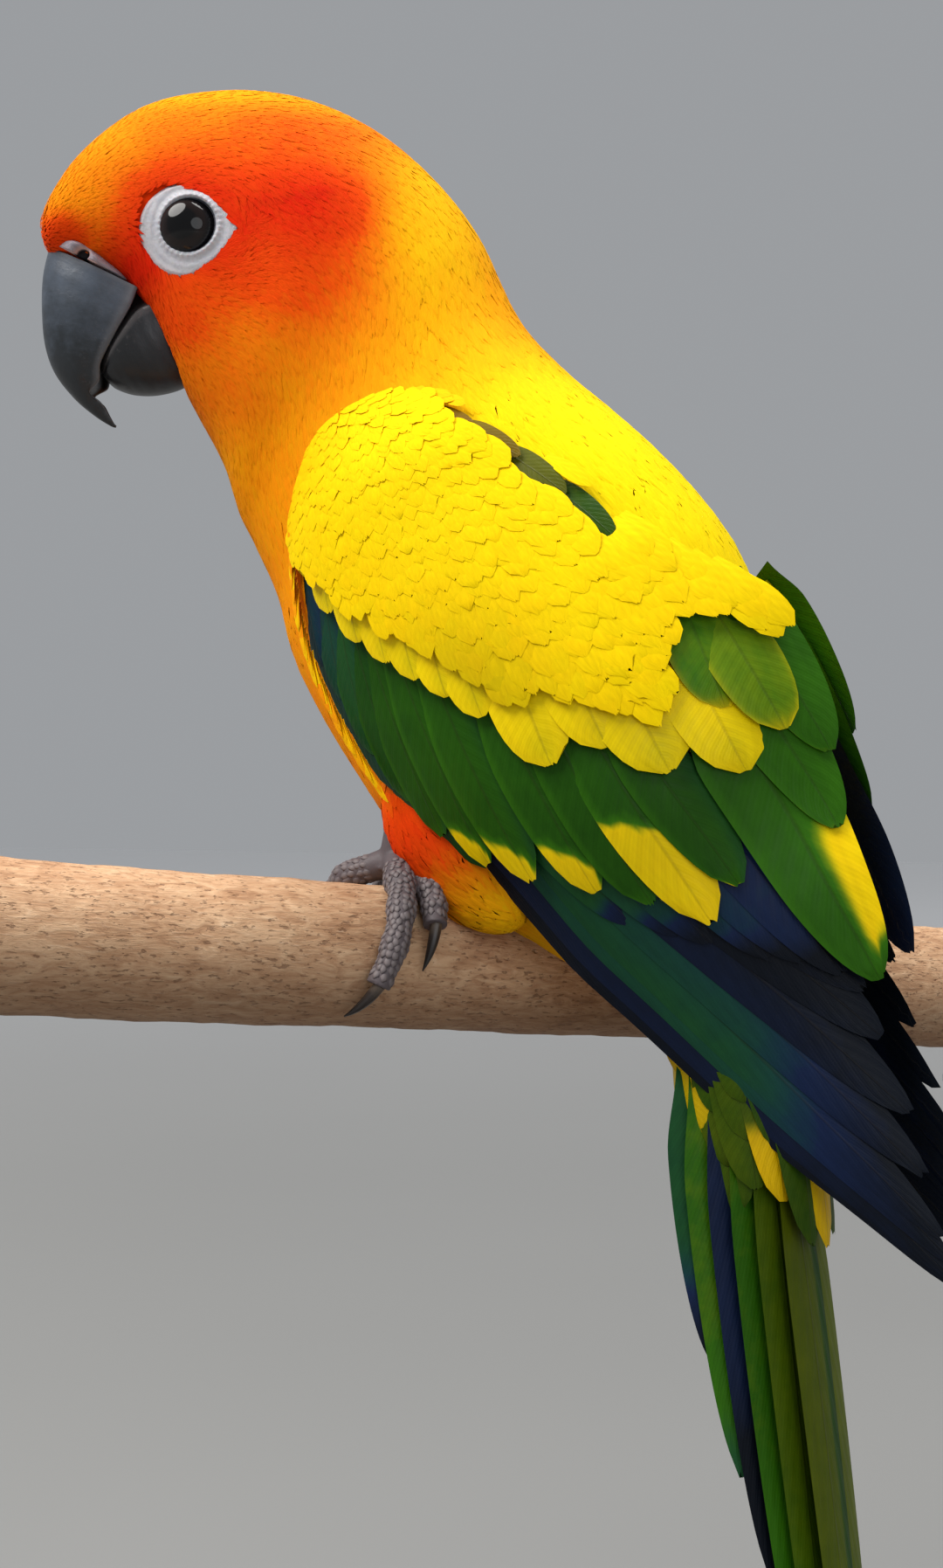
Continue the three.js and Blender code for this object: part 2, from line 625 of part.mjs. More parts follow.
function tailFeather([length, rootLeft, rootForward, tipLeft, tipForward, lean], side) {
  const shape = POINTED;
  const lift = side > 0 && lean < TAIL_FEATHER.middleLean ? TAIL_FEATHER.middleLift : 0;
  const points = shape.at.map((t) => tailPoint(
    mix(TAIL_FEATHER.start, length, t),
    side * mix(rootLeft, tipLeft, Math.sqrt(t)),
    mix(rootForward, tipForward, Math.sqrt(t)) - lift * Math.sqrt(t),
  ));
  const angle = lean * DEG * side;
  const normal = tailBack.clone().multiplyScalar(Math.cos(angle)).addScaledVector(tailLeft, Math.sin(angle));
  const halves = shape.width.map((w) => (w * TAIL_FEATHER.width) / 2);
  const tilt = TAIL_FEATHER.tilt * side;
  return solid(vane(points, points.map(() => normal), halves, TAIL_FEATHER.thickness, tilt, true));
}

// The fleshy root of the tail with its coverts: down, forward offset of its middle, half width, half depth.
const TAIL_ROOT = [
  [14, 9.5, 9.0, 8.6],
  [23, 8.0, 7.4, 6.2],
  [32, 6.8, 6.0, 3.6],
];
const tailRootRings = TAIL_ROOT.map(([down, forward, half, deep]) => {
  const ring = [];
  for (let k = 0; k < BODY_SIDES; k += 2) {
    const angle = (2 * Math.PI * k) / BODY_SIDES;
    ring.push(tailPoint(down, Math.sin(angle) * half, forward - Math.cos(angle) * deep));
  }
  return ring;
});
const tailStart = bodyRing(torsoRows[torsoRows.length - 1], 0, -GAP).filter((_, k) => k % 2 === 0);
const tailRoot = solid(loft([tailStart, ...tailRootRings]));

const ROOT_DROP = 1.5;              // how much deeper a tail covert starts than it ends
// Coverts over and under the tail's root: down, left and forward offsets of root and tip, face lean.
const TAIL_COVERTS = [
  [2, 0, -0.5, 40, 0, -1.2, 0, 10],
  [4, 4.5, 1.0, 36, 4.2, 0.4, 22, 9],
  [4, -4.5, 1.0, 36, -4.2, 0.4, -22, 9],
  [12, 0, 18.2, 46, 0, 12.5, 180, 10],
  [12, 5.2, 16.5, 42, 6.0, 12.5, 150, 9],
  [12, -5.2, 16.5, 42, -6.0, 12.5, -150, 9],
];
const tailCoverts = TAIL_COVERTS.map(([down0, left0, fwd0, down1, left1, fwd1, lean, width]) => {
  const points = ROUNDED.at.map((t) => tailPoint(
    mix(down0, down1, t),
    mix(left0, left1, t),
    mix(fwd0, fwd1, t) + ROOT_DROP * Math.max(0, 1 - t / ROOT_SHARE) * Math.cos(lean * DEG),
  ));
  const angle = lean * DEG;
  const normal = tailBack.clone().multiplyScalar(Math.cos(angle)).addScaledVector(tailLeft, Math.sin(angle));
  const halves = ROUNDED.width.map((w) => (w * width) / 2);
  return solid(vane(points, points.map(() => normal), halves, FEATHER_THICK, 0, false));
});

// Thighs: feathered, on the body's lower sides: centre of each section and its radius.
const THIGH_LEFT = [
  [6, 8, 29, 3.5],
  [3.5, 10.5, 24.5, 6.6],
  [0.5, 12, 19.5, 8.4],
  [-3.5, 13, 14.8, 8.4],
  [-7.5, 14, 10.4, 6.4],
  [-10.8, 14.6, 7.4, 3.2],
];
const THIGH_RIGHT = [
  [2, -9.5, 30, 4.5],
  [-1, -11, 25, 8.0],
  [-5, -12.5, 19.5, 9.0],
  [-9.5, -14, 14.5, 8.2],
  [-13, -15.2, 10.5, 6.0],
  [-16, -16, 8, 3.0],
];
const thighForm = (rows) => {
  const path = rows.map(([x, y, z]) => vec(x, y, z));
  return solid(limb(path, rows.map((row) => row[3]), 12));
};

// Feet: two toes over the front of the branch and two behind, with a short scaly leg.
// Toes: splay along the branch, side of the branch (1 front, -1 behind), length of arc in degrees.
const TOES = [
  { name: 'outer_front', splay: -3.2, side: 1, arc: 98, slant: -2 },
  { name: 'inner_front', splay: 1.8, side: 1, arc: 84, slant: 3 },
  { name: 'outer_back', splay: -0.8, side: -1, arc: 106, slant: -6.5 },
  { name: 'inner_back', splay: 2.4, side: -1, arc: 66, slant: -3.5 },
];
const TOE_REACH = PERCH_RADIUS + TOE_RADIUS + GAP;
const ANKLE_RISE = PERCH_RADIUS + 3.4;
const LEG_RISE = PERCH_RADIUS + 12;
const SOLE_DROP = 1.6;              // the leg's lower end sinks this far into the toes' joint
const HIP_LEAN = 0.25;              // share of the way that the leg's top leans to the hip
const TOE_FROM = 22;                // degrees from the top of the branch to a toe's first joint
const TOE_STEPS = 8;
const TOE_TAPER = [1.08, 0.8];
const TOE_PADS = { count: 4, swell: 0.08 };
const CLAW_ROOT = GAP + 0.25;       // clear distance from the toe's end to the claw
const CLAW_LIFT = [0.5, -1.2];      // the claw starts above the toe's line and dips to its point

function toePath(along, toe, mirror, fromDegrees, toDegrees, reachStart, reachEnd, steps) {
  const points = [];
  for (let i = 0; i <= steps; i += 1) {
    const t = i / steps;
    const degrees = mix(fromDegrees, toDegrees, t);
    const angle = (90 - toe.side * degrees) * DEG;
    const slide = mirror * (toe.splay + (toe.slant * degrees) / 90);
    points.push(perchPoint(along + slide, mix(reachStart, reachEnd, t), angle));
  }
  return points;
}
function toeSolid(along, toe, mirror, extra) {
  const path = [
    perchPoint(along, ANKLE_RISE, 90 * DEG),
    ...toePath(along, toe, mirror, TOE_FROM, toe.arc, TOE_REACH, TOE_REACH, 5),
  ];
  const radii = [];
  for (let i = 0; i <= TOE_STEPS; i += 1) {
    const t = i / TOE_STEPS;
    const pads = 1 + TOE_PADS.swell * Math.cos(t * TOE_PADS.count * 2 * Math.PI);
    radii.push(TOE_RADIUS * mix(TOE_TAPER[0], TOE_TAPER[1], t) * pads + extra);
  }
  return solid(limb(path, radii, 8));
}
function clawSolid(along, toe, mirror, extra = 0) {
  const sweepDegrees = CLAW_LENGTH / (TOE_REACH * DEG);
  const start = toe.arc + (CLAW_ROOT / TOE_REACH) / DEG;
  const end = start + sweepDegrees;
  const path = toePath(along, toe, mirror, start, end, TOE_REACH + CLAW_LIFT[0], TOE_REACH + CLAW_LIFT[1], 5);
  return solid(limb(path, CLAW_RADII.map((radius) => radius + extra), 7));
}
const CLAW_RADII = [1.35, 1.25, 0.95, 0.35];
const LEG_RADII = [1.6, 2.9, 2.5, 2.4, 2.6];
function legSolid(along, hip, extra) {
  const sole = perchPoint(along, ANKLE_RISE - SOLE_DROP, 90 * DEG);
  const ankle = perchPoint(along, ANKLE_RISE, 90 * DEG);
  const top = perchPoint(along, LEG_RISE + extra, 90 * DEG).lerp(hip, HIP_LEAN);
  return solid(limb([sole, ankle, top], LEG_RADII.map((radius) => radius + extra), 10));
}
const footSolid = (along, hip, mirror) => join([
  legSolid(along, hip, 0),
  ...TOES.map((toe) => toeSolid(along, toe, mirror, 0)),
]);
const footRoom = (along, hip, mirror) => join([
  legSolid(along, hip, ROOM),
  ...TOES.flatMap((toe) => [toeSolid(along, toe, mirror, ROOM), clawSolid(along, toe, mirror, ROOM)]),
]);

// The bird's pieces, each cut clear of what it lies against.
const perch = perchForm(0, 28);
const perchRoom = perchForm(PERCH_ROOM, PERCH_ROOM_SIDES);
const torsoRoom = torsoForm(ROOM);
const hipLeft = vec(2, 12, 26);
const hipRight = vec(-4, -12, 26);
const footLeft = footSolid(FOOT_LEFT_ALONG, hipLeft, 1);
const footRight = footSolid(FOOT_RIGHT_ALONG, hipRight, -1);
const footRoomLeft = footRoom(FOOT_LEFT_ALONG, hipLeft, 1);
const footRoomRight = footRoom(FOOT_RIGHT_ALONG, hipRight, -1);
const torso = cut(torsoForm(0), perchRoom, footRoomLeft, footRoomRight);
const wingWhole = join([wingCore, ...WING_TIERS.flatMap(wingFeathers)]);
const neckRoom = solid(loft(NECK.map((row) => bodyRing(row, ROOM, 0))));
const wingLeft = cut(wingWhole, torsoRoom, neckRoom, footRoomLeft);
const wingRight = cut(liftedRight(wingWhole), torsoRoom, neckRoom, perchRoom, footRoomRight);
const wingRoomRight = liftedRight(wingRoomLeft);
const tailParts = [tailRoot, ...tailCoverts];
TAIL_ROWS.forEach((row) => tailParts.push(tailFeather(row, 1), tailFeather(row, -1)));
const tail = cut(join(tailParts), torsoRoom, wingRoomLeft, wingRoomRight, perchRoom);
const thighLeft = cut(thighForm(THIGH_LEFT), torsoRoom, wingRoomLeft, perchRoom, footRoomLeft);
const thighRight = cut(thighForm(THIGH_RIGHT), torsoRoom, wingRoomRight, perchRoom, footRoomRight);

// The stand: a flat base with rounded corners and two rods up to the branch.
const FLOOR = -PERCH_HEIGHT;
const baseMiddle = (PERCH_LEFT + PERCH_RIGHT) / 2;
function baseGeometry() {
  const outline = new THREE.Shape();
  const x = BASE_LENGTH / 2;
  const y = BASE_WIDTH / 2;
  const r = BASE_CORNER;
  outline.moveTo(-x + r, -y);
  outline.lineTo(x - r, -y);
  outline.absarc(x - r, -y + r, r, -90 * DEG, 0, false);
  outline.lineTo(x, y - r);
  outline.absarc(x - r, y - r, r, 0, 90 * DEG, false);
  outline.lineTo(-x + r, y);
  outline.absarc(-x + r, y - r, r, 90 * DEG, 180 * DEG, false);
  outline.lineTo(-x, -y + r);
  outline.absarc(-x + r, -y + r, r, 180 * DEG, 270 * DEG, false);
  return new THREE.ExtrudeGeometry(outline, { depth: BASE_THICK, bevelEnabled: false, curveSegments: 6 });
}
const BASE_BACK = 14;               // the base reaches back under the tail
const baseCentre = perchLine.clone().multiplyScalar(baseMiddle).setZ(0)
  .addScaledVector(perchFront, -BASE_BACK).setZ(FLOOR);

const bird = new THREE.Group();
function add(name, geometry, look) {
  const whole = geometry.index ? geometry : mergeVertices(geometry, 1e-4);
  const mesh = new THREE.Mesh(whole, new THREE.MeshStandardMaterial(look));
  mesh.name = name;
  bird.add(mesh);
  return mesh;
}

add('head', largest(head), ORANGE);
add('cere', largest(cere), PALE_SKIN);
add('bill_upper', largest(billUpper), SLATE);
add('bill_lower', largest(billLower), SLATE);
add('eye_left', largest(eyes.left.eye), DARK_EYE);
add('eye_right', largest(eyes.right.eye), DARK_EYE);
add('neck', largest(neckForm), AMBER);
add('torso', largest(torso), YELLOW);
add('wing_left', largest(wingLeft), GREEN);
add('wing_right', largest(wingRight), GREEN);
add('tail', largest(tail), OLIVE);
add('thigh_left', largest(thighLeft), ORANGE);
add('thigh_right', largest(thighRight), ORANGE);
for (const [side, along, mirror, foot] of [
  ['left', FOOT_LEFT_ALONG, 1, footLeft],
  ['right', FOOT_RIGHT_ALONG, -1, footRight],
]) {
  add(`foot_${side}`, largest(foot), GREY_SKIN);
  for (const toe of TOES) add(`claw_${side}_${toe.name}`, largest(clawSolid(along, toe, mirror)), CLAW_HORN);
}
add('perch', largest(perch), BARK);

const base = add('stand_base', baseGeometry(), DARK_WOOD);
base.position.copy(baseCentre);
base.rotation.z = PERCH_ACROSS;
for (const [name, along] of [
  ['stand_rod_left', PERCH_LEFT + ROD_INSET],
  ['stand_rod_right', PERCH_RIGHT - ROD_INSET],
]) {
  const axis = perchPoint(along, 0, 0);
  const bottom = FLOOR + BASE_THICK + GAP;
  const top = axis.z - (PERCH_RADIUS + GAP) / Math.cos(PERCH_FALL) - ROD_RADIUS * Math.tan(PERCH_FALL);
  const rod = new THREE.CylinderGeometry(ROD_RADIUS, ROD_RADIUS, top - bottom, 20);
  rod.rotateX(90 * DEG);
  const mesh = add(name, rod, STEEL);
  mesh.position.set(axis.x, axis.y, (top + bottom) / 2);
}

const model = new THREE.Group();
bird.rotation.z = 180 * DEG;
bird.position.set(baseCentre.x, baseCentre.y, PERCH_HEIGHT);
model.add(bird);
export default model;
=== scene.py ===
"""A sun conure at life size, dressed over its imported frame: skin, plumage, bill, eyes, feet and perch.

Sizes are in millimetres in the bird's own frame, as in the part's source: +X is the way the bird faces,
+Y its left side, +Z up, and the origin lies on the branch's axis under the belly. `to_model` turns such
points into metres in the model's frame, where the bird faces -X.
"""

import math

import bmesh
import bpy
import numpy as np
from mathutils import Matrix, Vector
from mathutils.bvhtree import BVHTree


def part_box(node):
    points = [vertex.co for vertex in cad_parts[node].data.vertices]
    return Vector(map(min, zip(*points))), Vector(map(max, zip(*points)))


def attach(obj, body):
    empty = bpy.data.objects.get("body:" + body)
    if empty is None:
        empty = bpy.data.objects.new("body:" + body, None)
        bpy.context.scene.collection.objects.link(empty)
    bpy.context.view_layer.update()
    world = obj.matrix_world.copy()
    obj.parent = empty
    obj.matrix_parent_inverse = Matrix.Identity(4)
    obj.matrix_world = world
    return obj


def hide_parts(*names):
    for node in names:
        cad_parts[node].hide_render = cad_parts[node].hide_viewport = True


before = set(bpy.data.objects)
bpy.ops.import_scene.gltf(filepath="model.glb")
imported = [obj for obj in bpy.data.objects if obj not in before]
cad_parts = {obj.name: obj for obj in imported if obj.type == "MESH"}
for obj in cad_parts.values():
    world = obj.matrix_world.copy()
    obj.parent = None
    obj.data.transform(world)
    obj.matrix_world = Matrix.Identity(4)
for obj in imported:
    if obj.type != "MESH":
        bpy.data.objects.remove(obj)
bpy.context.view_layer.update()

MM = 0.001
DEG = math.pi / 180

# Branch and stand.
PERCH_RADIUS = 9.5
PERCH_ACROSS = 60 * DEG          # between the way the bird faces and the branch's line
PERCH_FALL = 5.2 * DEG           # the branch drops a little towards the bird's right
PERCH_LEFT = -86.0
PERCH_RIGHT = 104.0
PERCH_HEIGHT = 130.0             # branch axis under the bird, above the floor
BASE = {"length": 206.0, "width": 96.0, "thick": 8.0, "corner": 9.0, "back": 14.0}
ROD = {"radius": 3.2, "inset": 8.0}

perch_line = np.array([
    -math.cos(PERCH_ACROSS) * math.cos(PERCH_FALL),
    -math.sin(PERCH_ACROSS) * math.cos(PERCH_FALL),
    -math.sin(PERCH_FALL),
])
perch_front = np.array([math.sin(PERCH_ACROSS), -math.cos(PERCH_ACROSS), 0.0])
perch_up = np.cross(perch_line, perch_front)
base_middle = perch_line * (PERCH_LEFT + PERCH_RIGHT) / 2 - perch_front * BASE["back"]
BIRD_ORIGIN = np.array([base_middle[0], base_middle[1], PERCH_HEIGHT])


def to_model(points):
    """Turns points of the bird's frame, in mm, into the model's frame, in metres."""
    return (np.asarray(points, float) * (-1.0, -1.0, 1.0) + BIRD_ORIGIN) * MM


def to_bird(points):
    """Turns points of the model's frame, in metres, into the bird's frame, in mm."""
    return (np.asarray(points, float) / MM - BIRD_ORIGIN) * (-1.0, -1.0, 1.0)


# Body. The body's own axis runs from the shoulders down and back to the rump.
SHOULDER = (10.0, 60.0)
BODY_TILT = 52 * DEG
NECK_AXIS_X = 12.0
HEAD_TURN = 26 * DEG

# Head and neck stations from the forehead to the shoulders: x and z of the lower (throat) side,
# x and z of the upper (crown) side, half width, and degrees that the section is turned.
HEAD = [
    [62.4, 99.4, 62.6, 100.9, 1.0, 26],
    [61.9, 98.5, 62.3, 102.4, 3.6, 26],
    [60.2, 96.8, 60.2, 106.2, 7.2, 26],
    [55.4, 95.6, 56.8, 111.0, 9.5, 26],
    [50.4, 93.0, 51.6, 115.5, 11.5, 26],
    [46.2, 87.4, 46.6, 118.3, 12.8, 26],
    [42.8, 79.6, 40.2, 119.8, 13.9, 26],
    [40.2, 74.6, 32.4, 120.1, 14.7, 26],
    [38.2, 71.0, 24.4, 118.6, 15.4, 26],
    [36.7, 67.8, 16.2, 114.8, 16.0, 26],
]
NECK = [
    [35.6, 64.2, 8.4, 108.6, 16.5, 23],
    [34.6, 61.0, 1.8, 100.4, 17.2, 17],
    [32.6, 57.0, -3.9, 88.6, 18.2, 9],
]
# Torso stations: p along the axis, q of the breast and of the back, half width, turn.
TORSO = [
    [-3, -21.5, 29.3, 19.3, 3],
    [5, -24.5, 31, 20.5, 0],
    [14, -26, 32.6, 21, 0],
    [22.5, -26.7, 33.4, 20.2, 0],
    [31, -27, 33.2, 19, 0],
    [41, -26, 30.6, 17.6, 0],
    [50, -23.5, 26.5, 16.2, 0],
    [58, -19.5, 22.5, 14.4, 0],
    [66, -15.8, 18.5, 13.2, 0],
    [73, -12.8, 14.8, 11, 0],
]
BODY_SQUARENESS = 2.25
# Fleshy root of the tail: down, forward offset of its middle, half width, half depth.
TAIL_ROOT = [
    [14, 9.5, 9.0, 8.6],
    [23, 8.0, 7.4, 6.2],
    [32, 6.8, 6.0, 3.6],
]
TAIL_TOP = np.array([-43.4, 0.0, 5.0])
TAIL_FALL = 84.3 * DEG
TAIL_ROLL = 9 * DEG

# Wing stations: p, q and y of the leading edge, q and y of the back edge, arch between them.
WING = [
    [-15, -1, 16, 6, 16.5, 0.5],
    [-9, -6.0, 17.2, 14, 17.5, 3],
    [0, -12.4, 18.0, 20.5, 18.5, 6.0],
    [10, -17.0, 18.2, 24, 18, 7.2],
    [20, -18.8, 18.6, 26, 17.4, 7.9],
    [30, -19.4, 18.5, 30, 14.2, 9.4],
    [42, -17.3, 19.0, 33.5, 9, 10.3],
    [55, -14, 18.3, 30, 6.6, 8.8],
    [66, -12.2, 16.6, 26, 5, 6.0],
    [76, -11, 14, 23.6, 4.5, 4.5],
    [88, -9.6, 11.5, 17, 4.5, 2.5],
    [100, -6.5, 9.5, 12, 4.5, 1.5],
    [112, -4, 7.5, 8.6, 4.5, 1],
    [125, -3, 6, 5, 5, 0.5],
]
RIGHT_WING_LIFT = 2.2 * DEG

# Head pieces, in the head's own frame: x forward from the neck's axis, z up.
EYE = {"x": 40.2, "z": 98.6, "side": 13.75, "radius": 5.0, "depth": 3.7, "toe_in": 10 * DEG}
# Bill sections: x and z of the front (culmen) edge and of the inner edge, half width.
CERE = [
    [58.5, 104.0, 44.5, 97.0, 6.4],
    [60.6, 101.4, 46.4, 94.4, 7.4],
    [61.2, 98.8, 48.0, 92.4, 7.6],
]
BILL_UPPER = [
    [61.4, 98.4, 48.2, 92.0, 7.4],
    [62.2, 94.4, 49.2, 89.4, 7.5],
    [62.3, 89.6, 51.0, 86.4, 7.1],
    [61.9, 85.2, 52.9, 83.2, 6.1],
    [60.6, 81.4, 54.4, 80.9, 4.6],
    [58.0, 78.0, 54.7, 78.9, 2.9],
    [55.2, 75.6, 53.8, 77.0, 1.5],
    [53.0, 74.2, 52.6, 74.8, 0.5],
]
BILL_LOWER = [
    [41.0, 80.6, 45.5, 90.5, 6.4],
    [43.6, 79.2, 48.6, 89.2, 6.8],
    [46.8, 78.5, 51.0, 86.2, 6.6],
    [49.8, 78.6, 52.8, 83.6, 5.6],
    [52.2, 79.4, 53.6, 81.8, 4.0],
]
NOSTRIL = {"x": 55.6, "z": 96.4, "side": 6.2, "radius": 0.95}


# Small mathematics.

def smooth(low, high, value):
    """0 below `low`, 1 above `high`, with a soft step between them."""
    t = np.clip((value - low) / (high - low), 0.0, 1.0)
    return t * t * (3 - 2 * t)


def blend(a, b, t):
    return a + (b - a) * t


def unit(vectors):
    length = np.linalg.norm(vectors, axis=-1, keepdims=True)
    return vectors / np.maximum(length, 1e-9)


def beside(*values):
    """Numbers or arrays side by side, along a new last axis."""
    return np.stack(np.broadcast_arrays(*values), axis=-1)


def angles_round(count):
    """Evenly spaced angles round a circle, in radians."""
    return np.arange(count) * 2 * math.pi / count


def through(rows, spots):
    """Reads a smooth curve through rows of numbers at spots, measured by the rows' first column."""
    rows = np.asarray(rows, float)
    spots = np.asarray(spots, float)
    key = rows[:, 0]
    value = rows[:, 1:]
    i = np.clip(np.searchsorted(key, spots.ravel(), side="right") - 1, 0, len(key) - 2)
    before = np.maximum(i - 1, 0)
    after = np.minimum(i + 2, len(key) - 1)
    span = (key[i + 1] - key[i])[:, None]
    t = (spots.ravel() - key[i])[:, None] / span
    slope_a = (value[i + 1] - value[before]) / (key[i + 1] - key[before])[:, None] * span
    slope_b = (value[after] - value[i]) / (key[after] - key[i])[:, None] * span
    inside = np.clip(t, 0, 1)
    t2 = inside ** 2
    t3 = inside ** 3
    curve = value[i] * (2 * t3 - 3 * t2 + 1) + slope_a * (t3 - 2 * t2 + inside)
    curve += value[i + 1] * (3 * t2 - 2 * t3) + slope_b * (t3 - t2)
    curve += slope_a * np.minimum(t, 0) + slope_b * np.maximum(t - 1, 0)
    return curve.reshape(spots.shape + (value.shape[1],))


def body_xyz(p, q, y):
    """Points of the bird's frame from p along the body, q towards the back and y to the left."""
    x = SHOULDER[0] - p * math.cos(BODY_TILT) - q * math.sin(BODY_TILT)
    z = SHOULDER[1] - p * math.sin(BODY_TILT) + q * math.cos(BODY_TILT)
    return beside(x, y, z)


def body_pq(points):
    """p along the body and q towards the back, of points in the bird's frame."""
    dx = points[..., 0] - SHOULDER[0]
    dz = points[..., 2] - SHOULDER[1]
    p = -dx * math.cos(BODY_TILT) - dz * math.sin(BODY_TILT)
    q = -dx * math.sin(BODY_TILT) + dz * math.cos(BODY_TILT)
    return p, q


def turned_round_neck(points, angle):
    """Points turned about the neck's upright axis."""
    reach = points[..., 0] - NECK_AXIS_X
    side = points[..., 1]
    x = NECK_AXIS_X + reach * math.cos(angle) - side * math.sin(angle)
    return np.stack([x, reach * math.sin(angle) + side * math.cos(angle), points[..., 2]], axis=-1)


def head_to_bird(points):
    """Turns points of the head's own frame into the bird's frame."""
    return turned_round_neck(points, HEAD_TURN)


def bird_to_head(points):
    """Turns points of the bird's frame into the head's own frame."""
    return turned_round_neck(points, -HEAD_TURN)


tail_down = np.array([-math.cos(TAIL_FALL), 0.0, -math.sin(TAIL_FALL)])
tail_back_flat = np.array([-math.sin(TAIL_FALL), 0.0, math.cos(TAIL_FALL)])
bird_left = np.array([0.0, 1.0, 0.0])
tail_left = bird_left * math.cos(TAIL_ROLL) - tail_back_flat * math.sin(TAIL_ROLL)
tail_back = tail_back_flat * math.cos(TAIL_ROLL) + bird_left * math.sin(TAIL_ROLL)


def tail_point(down, left, forward):
    """Points of the bird's frame from the tail's top: down along it, to the left, and to the front."""
    down, left, forward = (np.asarray(v, float)[..., None] for v in (down, left, forward))
    return TAIL_TOP + tail_down * down + tail_left * left - tail_back * forward


# Surfaces that feathers lie on.

class Form:
    """A closed form given by rings: rows run along the lie of the feathers, columns round the body."""

    def __init__(self, rings, row_step):
        rings = np.asarray(rings, float)
        middle = rings.mean(axis=1)
        step = np.linalg.norm(np.diff(middle, axis=0), axis=1)
        key = np.concatenate([[0.0], np.cumsum(step)])
        self.reach = key[-1]
        self.rows = int(self.reach / row_step) + 1
        self.station = np.linspace(0, self.reach, self.rows)
        flat = np.column_stack([key, rings.reshape(len(rings), -1)])
        self.points = through(flat, self.station).reshape(self.rows, rings.shape[1], 3)
        self.columns = rings.shape[1]
        along = np.gradient(self.points, axis=0)
        across = (np.roll(self.points, -1, axis=1) - np.roll(self.points, 1, axis=1)) / 2
        self.normals = unit(np.cross(across, along))
        self.along_mm = np.linalg.norm(along, axis=-1)
        self.passed = np.cumsum(self.along_mm, axis=0)
        self.across_mm = np.linalg.norm(across, axis=-1)

    def read(self, field, row, column):
        """A field of the grid at any row and column, blended between its neighbours."""
        row = np.clip(row, 0, self.rows - 1.001)
        i = row.astype(int)
        j = np.floor(column).astype(int)
        down = row - i
        over = column - j
        if field.ndim == 3:
            down = down[..., None]
            over = over[..., None]
        left = j % self.columns
        right = (j + 1) % self.columns
        near = field[i, left] * (1 - over) + field[i, right] * over
        far = field[i + 1, left] * (1 - over) + field[i + 1, right] * over
        return near * (1 - down) + far * down

    def place(self, root, heading, x, y, height):
        """Points at x along and y across each feather, `height` above the surface."""
        row0 = root[:, 0:1]
        column0 = root[:, 1:2]
        cos = np.cos(heading)[:, None]
        sin = np.sin(heading)[:, None]
        along = x * cos - y * sin
        across = x * sin + y * cos
        aim = self.read(self.passed, row0, column0) + along
        row = row0 + along / ROW_STEP
        start = column0 + 0 * row
        for _ in range(4):
            miss = aim - self.read(self.passed, row, start)
            row = row + np.clip(miss / np.maximum(self.read(self.along_mm, row, start), 0.1), -8, 8)
        column = column0 - across / self.read(self.across_mm, row, column0 + 0 * row)
        point = self.read(self.points, row, column)
        return point + self.read(self.normals, row, column) * height[..., None]


def wing_surface(p, q, height):
    """Points over the left wing's arched face, at p along the body and q towards the back."""
    def at(pp, qq):
        row = through(WING, pp)
        lead_q, lead_y, back_q, back_y, arch = np.moveaxis(row, -1, 0)
        b = (qq - lead_q) / (back_q - lead_q)
        return body_xyz(pp, qq, blend(lead_y, back_y, b) + arch * 4 * b * (1 - b))
    step = 0.5
    point = at(p, q)
    normal = unit(np.cross(at(p + step, q) - point, at(p, q + step) - point))
    return point + normal * np.asarray(height)[..., None]


class WingFace:
    """The left wing's face as a surface that feathers lie on: p along the body, q across it."""

    def place(self, root, heading, x, y, height):
        cos = np.cos(heading)[:, None]
        sin = np.sin(heading)[:, None]
        p = root[:, 0:1] + x * cos - y * sin
        q = root[:, 1:2] + x * sin + y * cos
        return wing_surface(p, q, height)


def to_right_wing(points):
    """Mirrors points of the left wing and lifts them a little about the shoulder."""
    x = points[..., 0] - SHOULDER[0]
    z = points[..., 2] - SHOULDER[1]
    cos = math.cos(RIGHT_WING_LIFT)
    sin = math.sin(RIGHT_WING_LIFT)
    return beside(SHOULDER[0] + x * cos + z * sin, -points[..., 1], SHOULDER[1] - x * sin + z * cos)


# Meshes from arrays.

VANE_FOLD = 55 * DEG             # a vane's thin edges fold more than this, and are kept crisp


def read_points(mesh):
    """A mesh's points as an array, in metres."""
    place = np.empty(len(mesh.vertices) * 3, np.float32)
    mesh.vertices.foreach_get("co", place)
    return place.reshape(-1, 3)


def write_points(mesh, points):
    mesh.vertices.foreach_set("co", np.ascontiguousarray(points, np.float32).ravel())


def write_field(mesh, name, values):
    """Gives each point of a mesh three numbers that its finish reads."""
    layer = mesh.attributes.new(name, "FLOAT_VECTOR", "POINT")
    layer.data.foreach_set("vector", np.ascontiguousarray(values, np.float32).ravel())


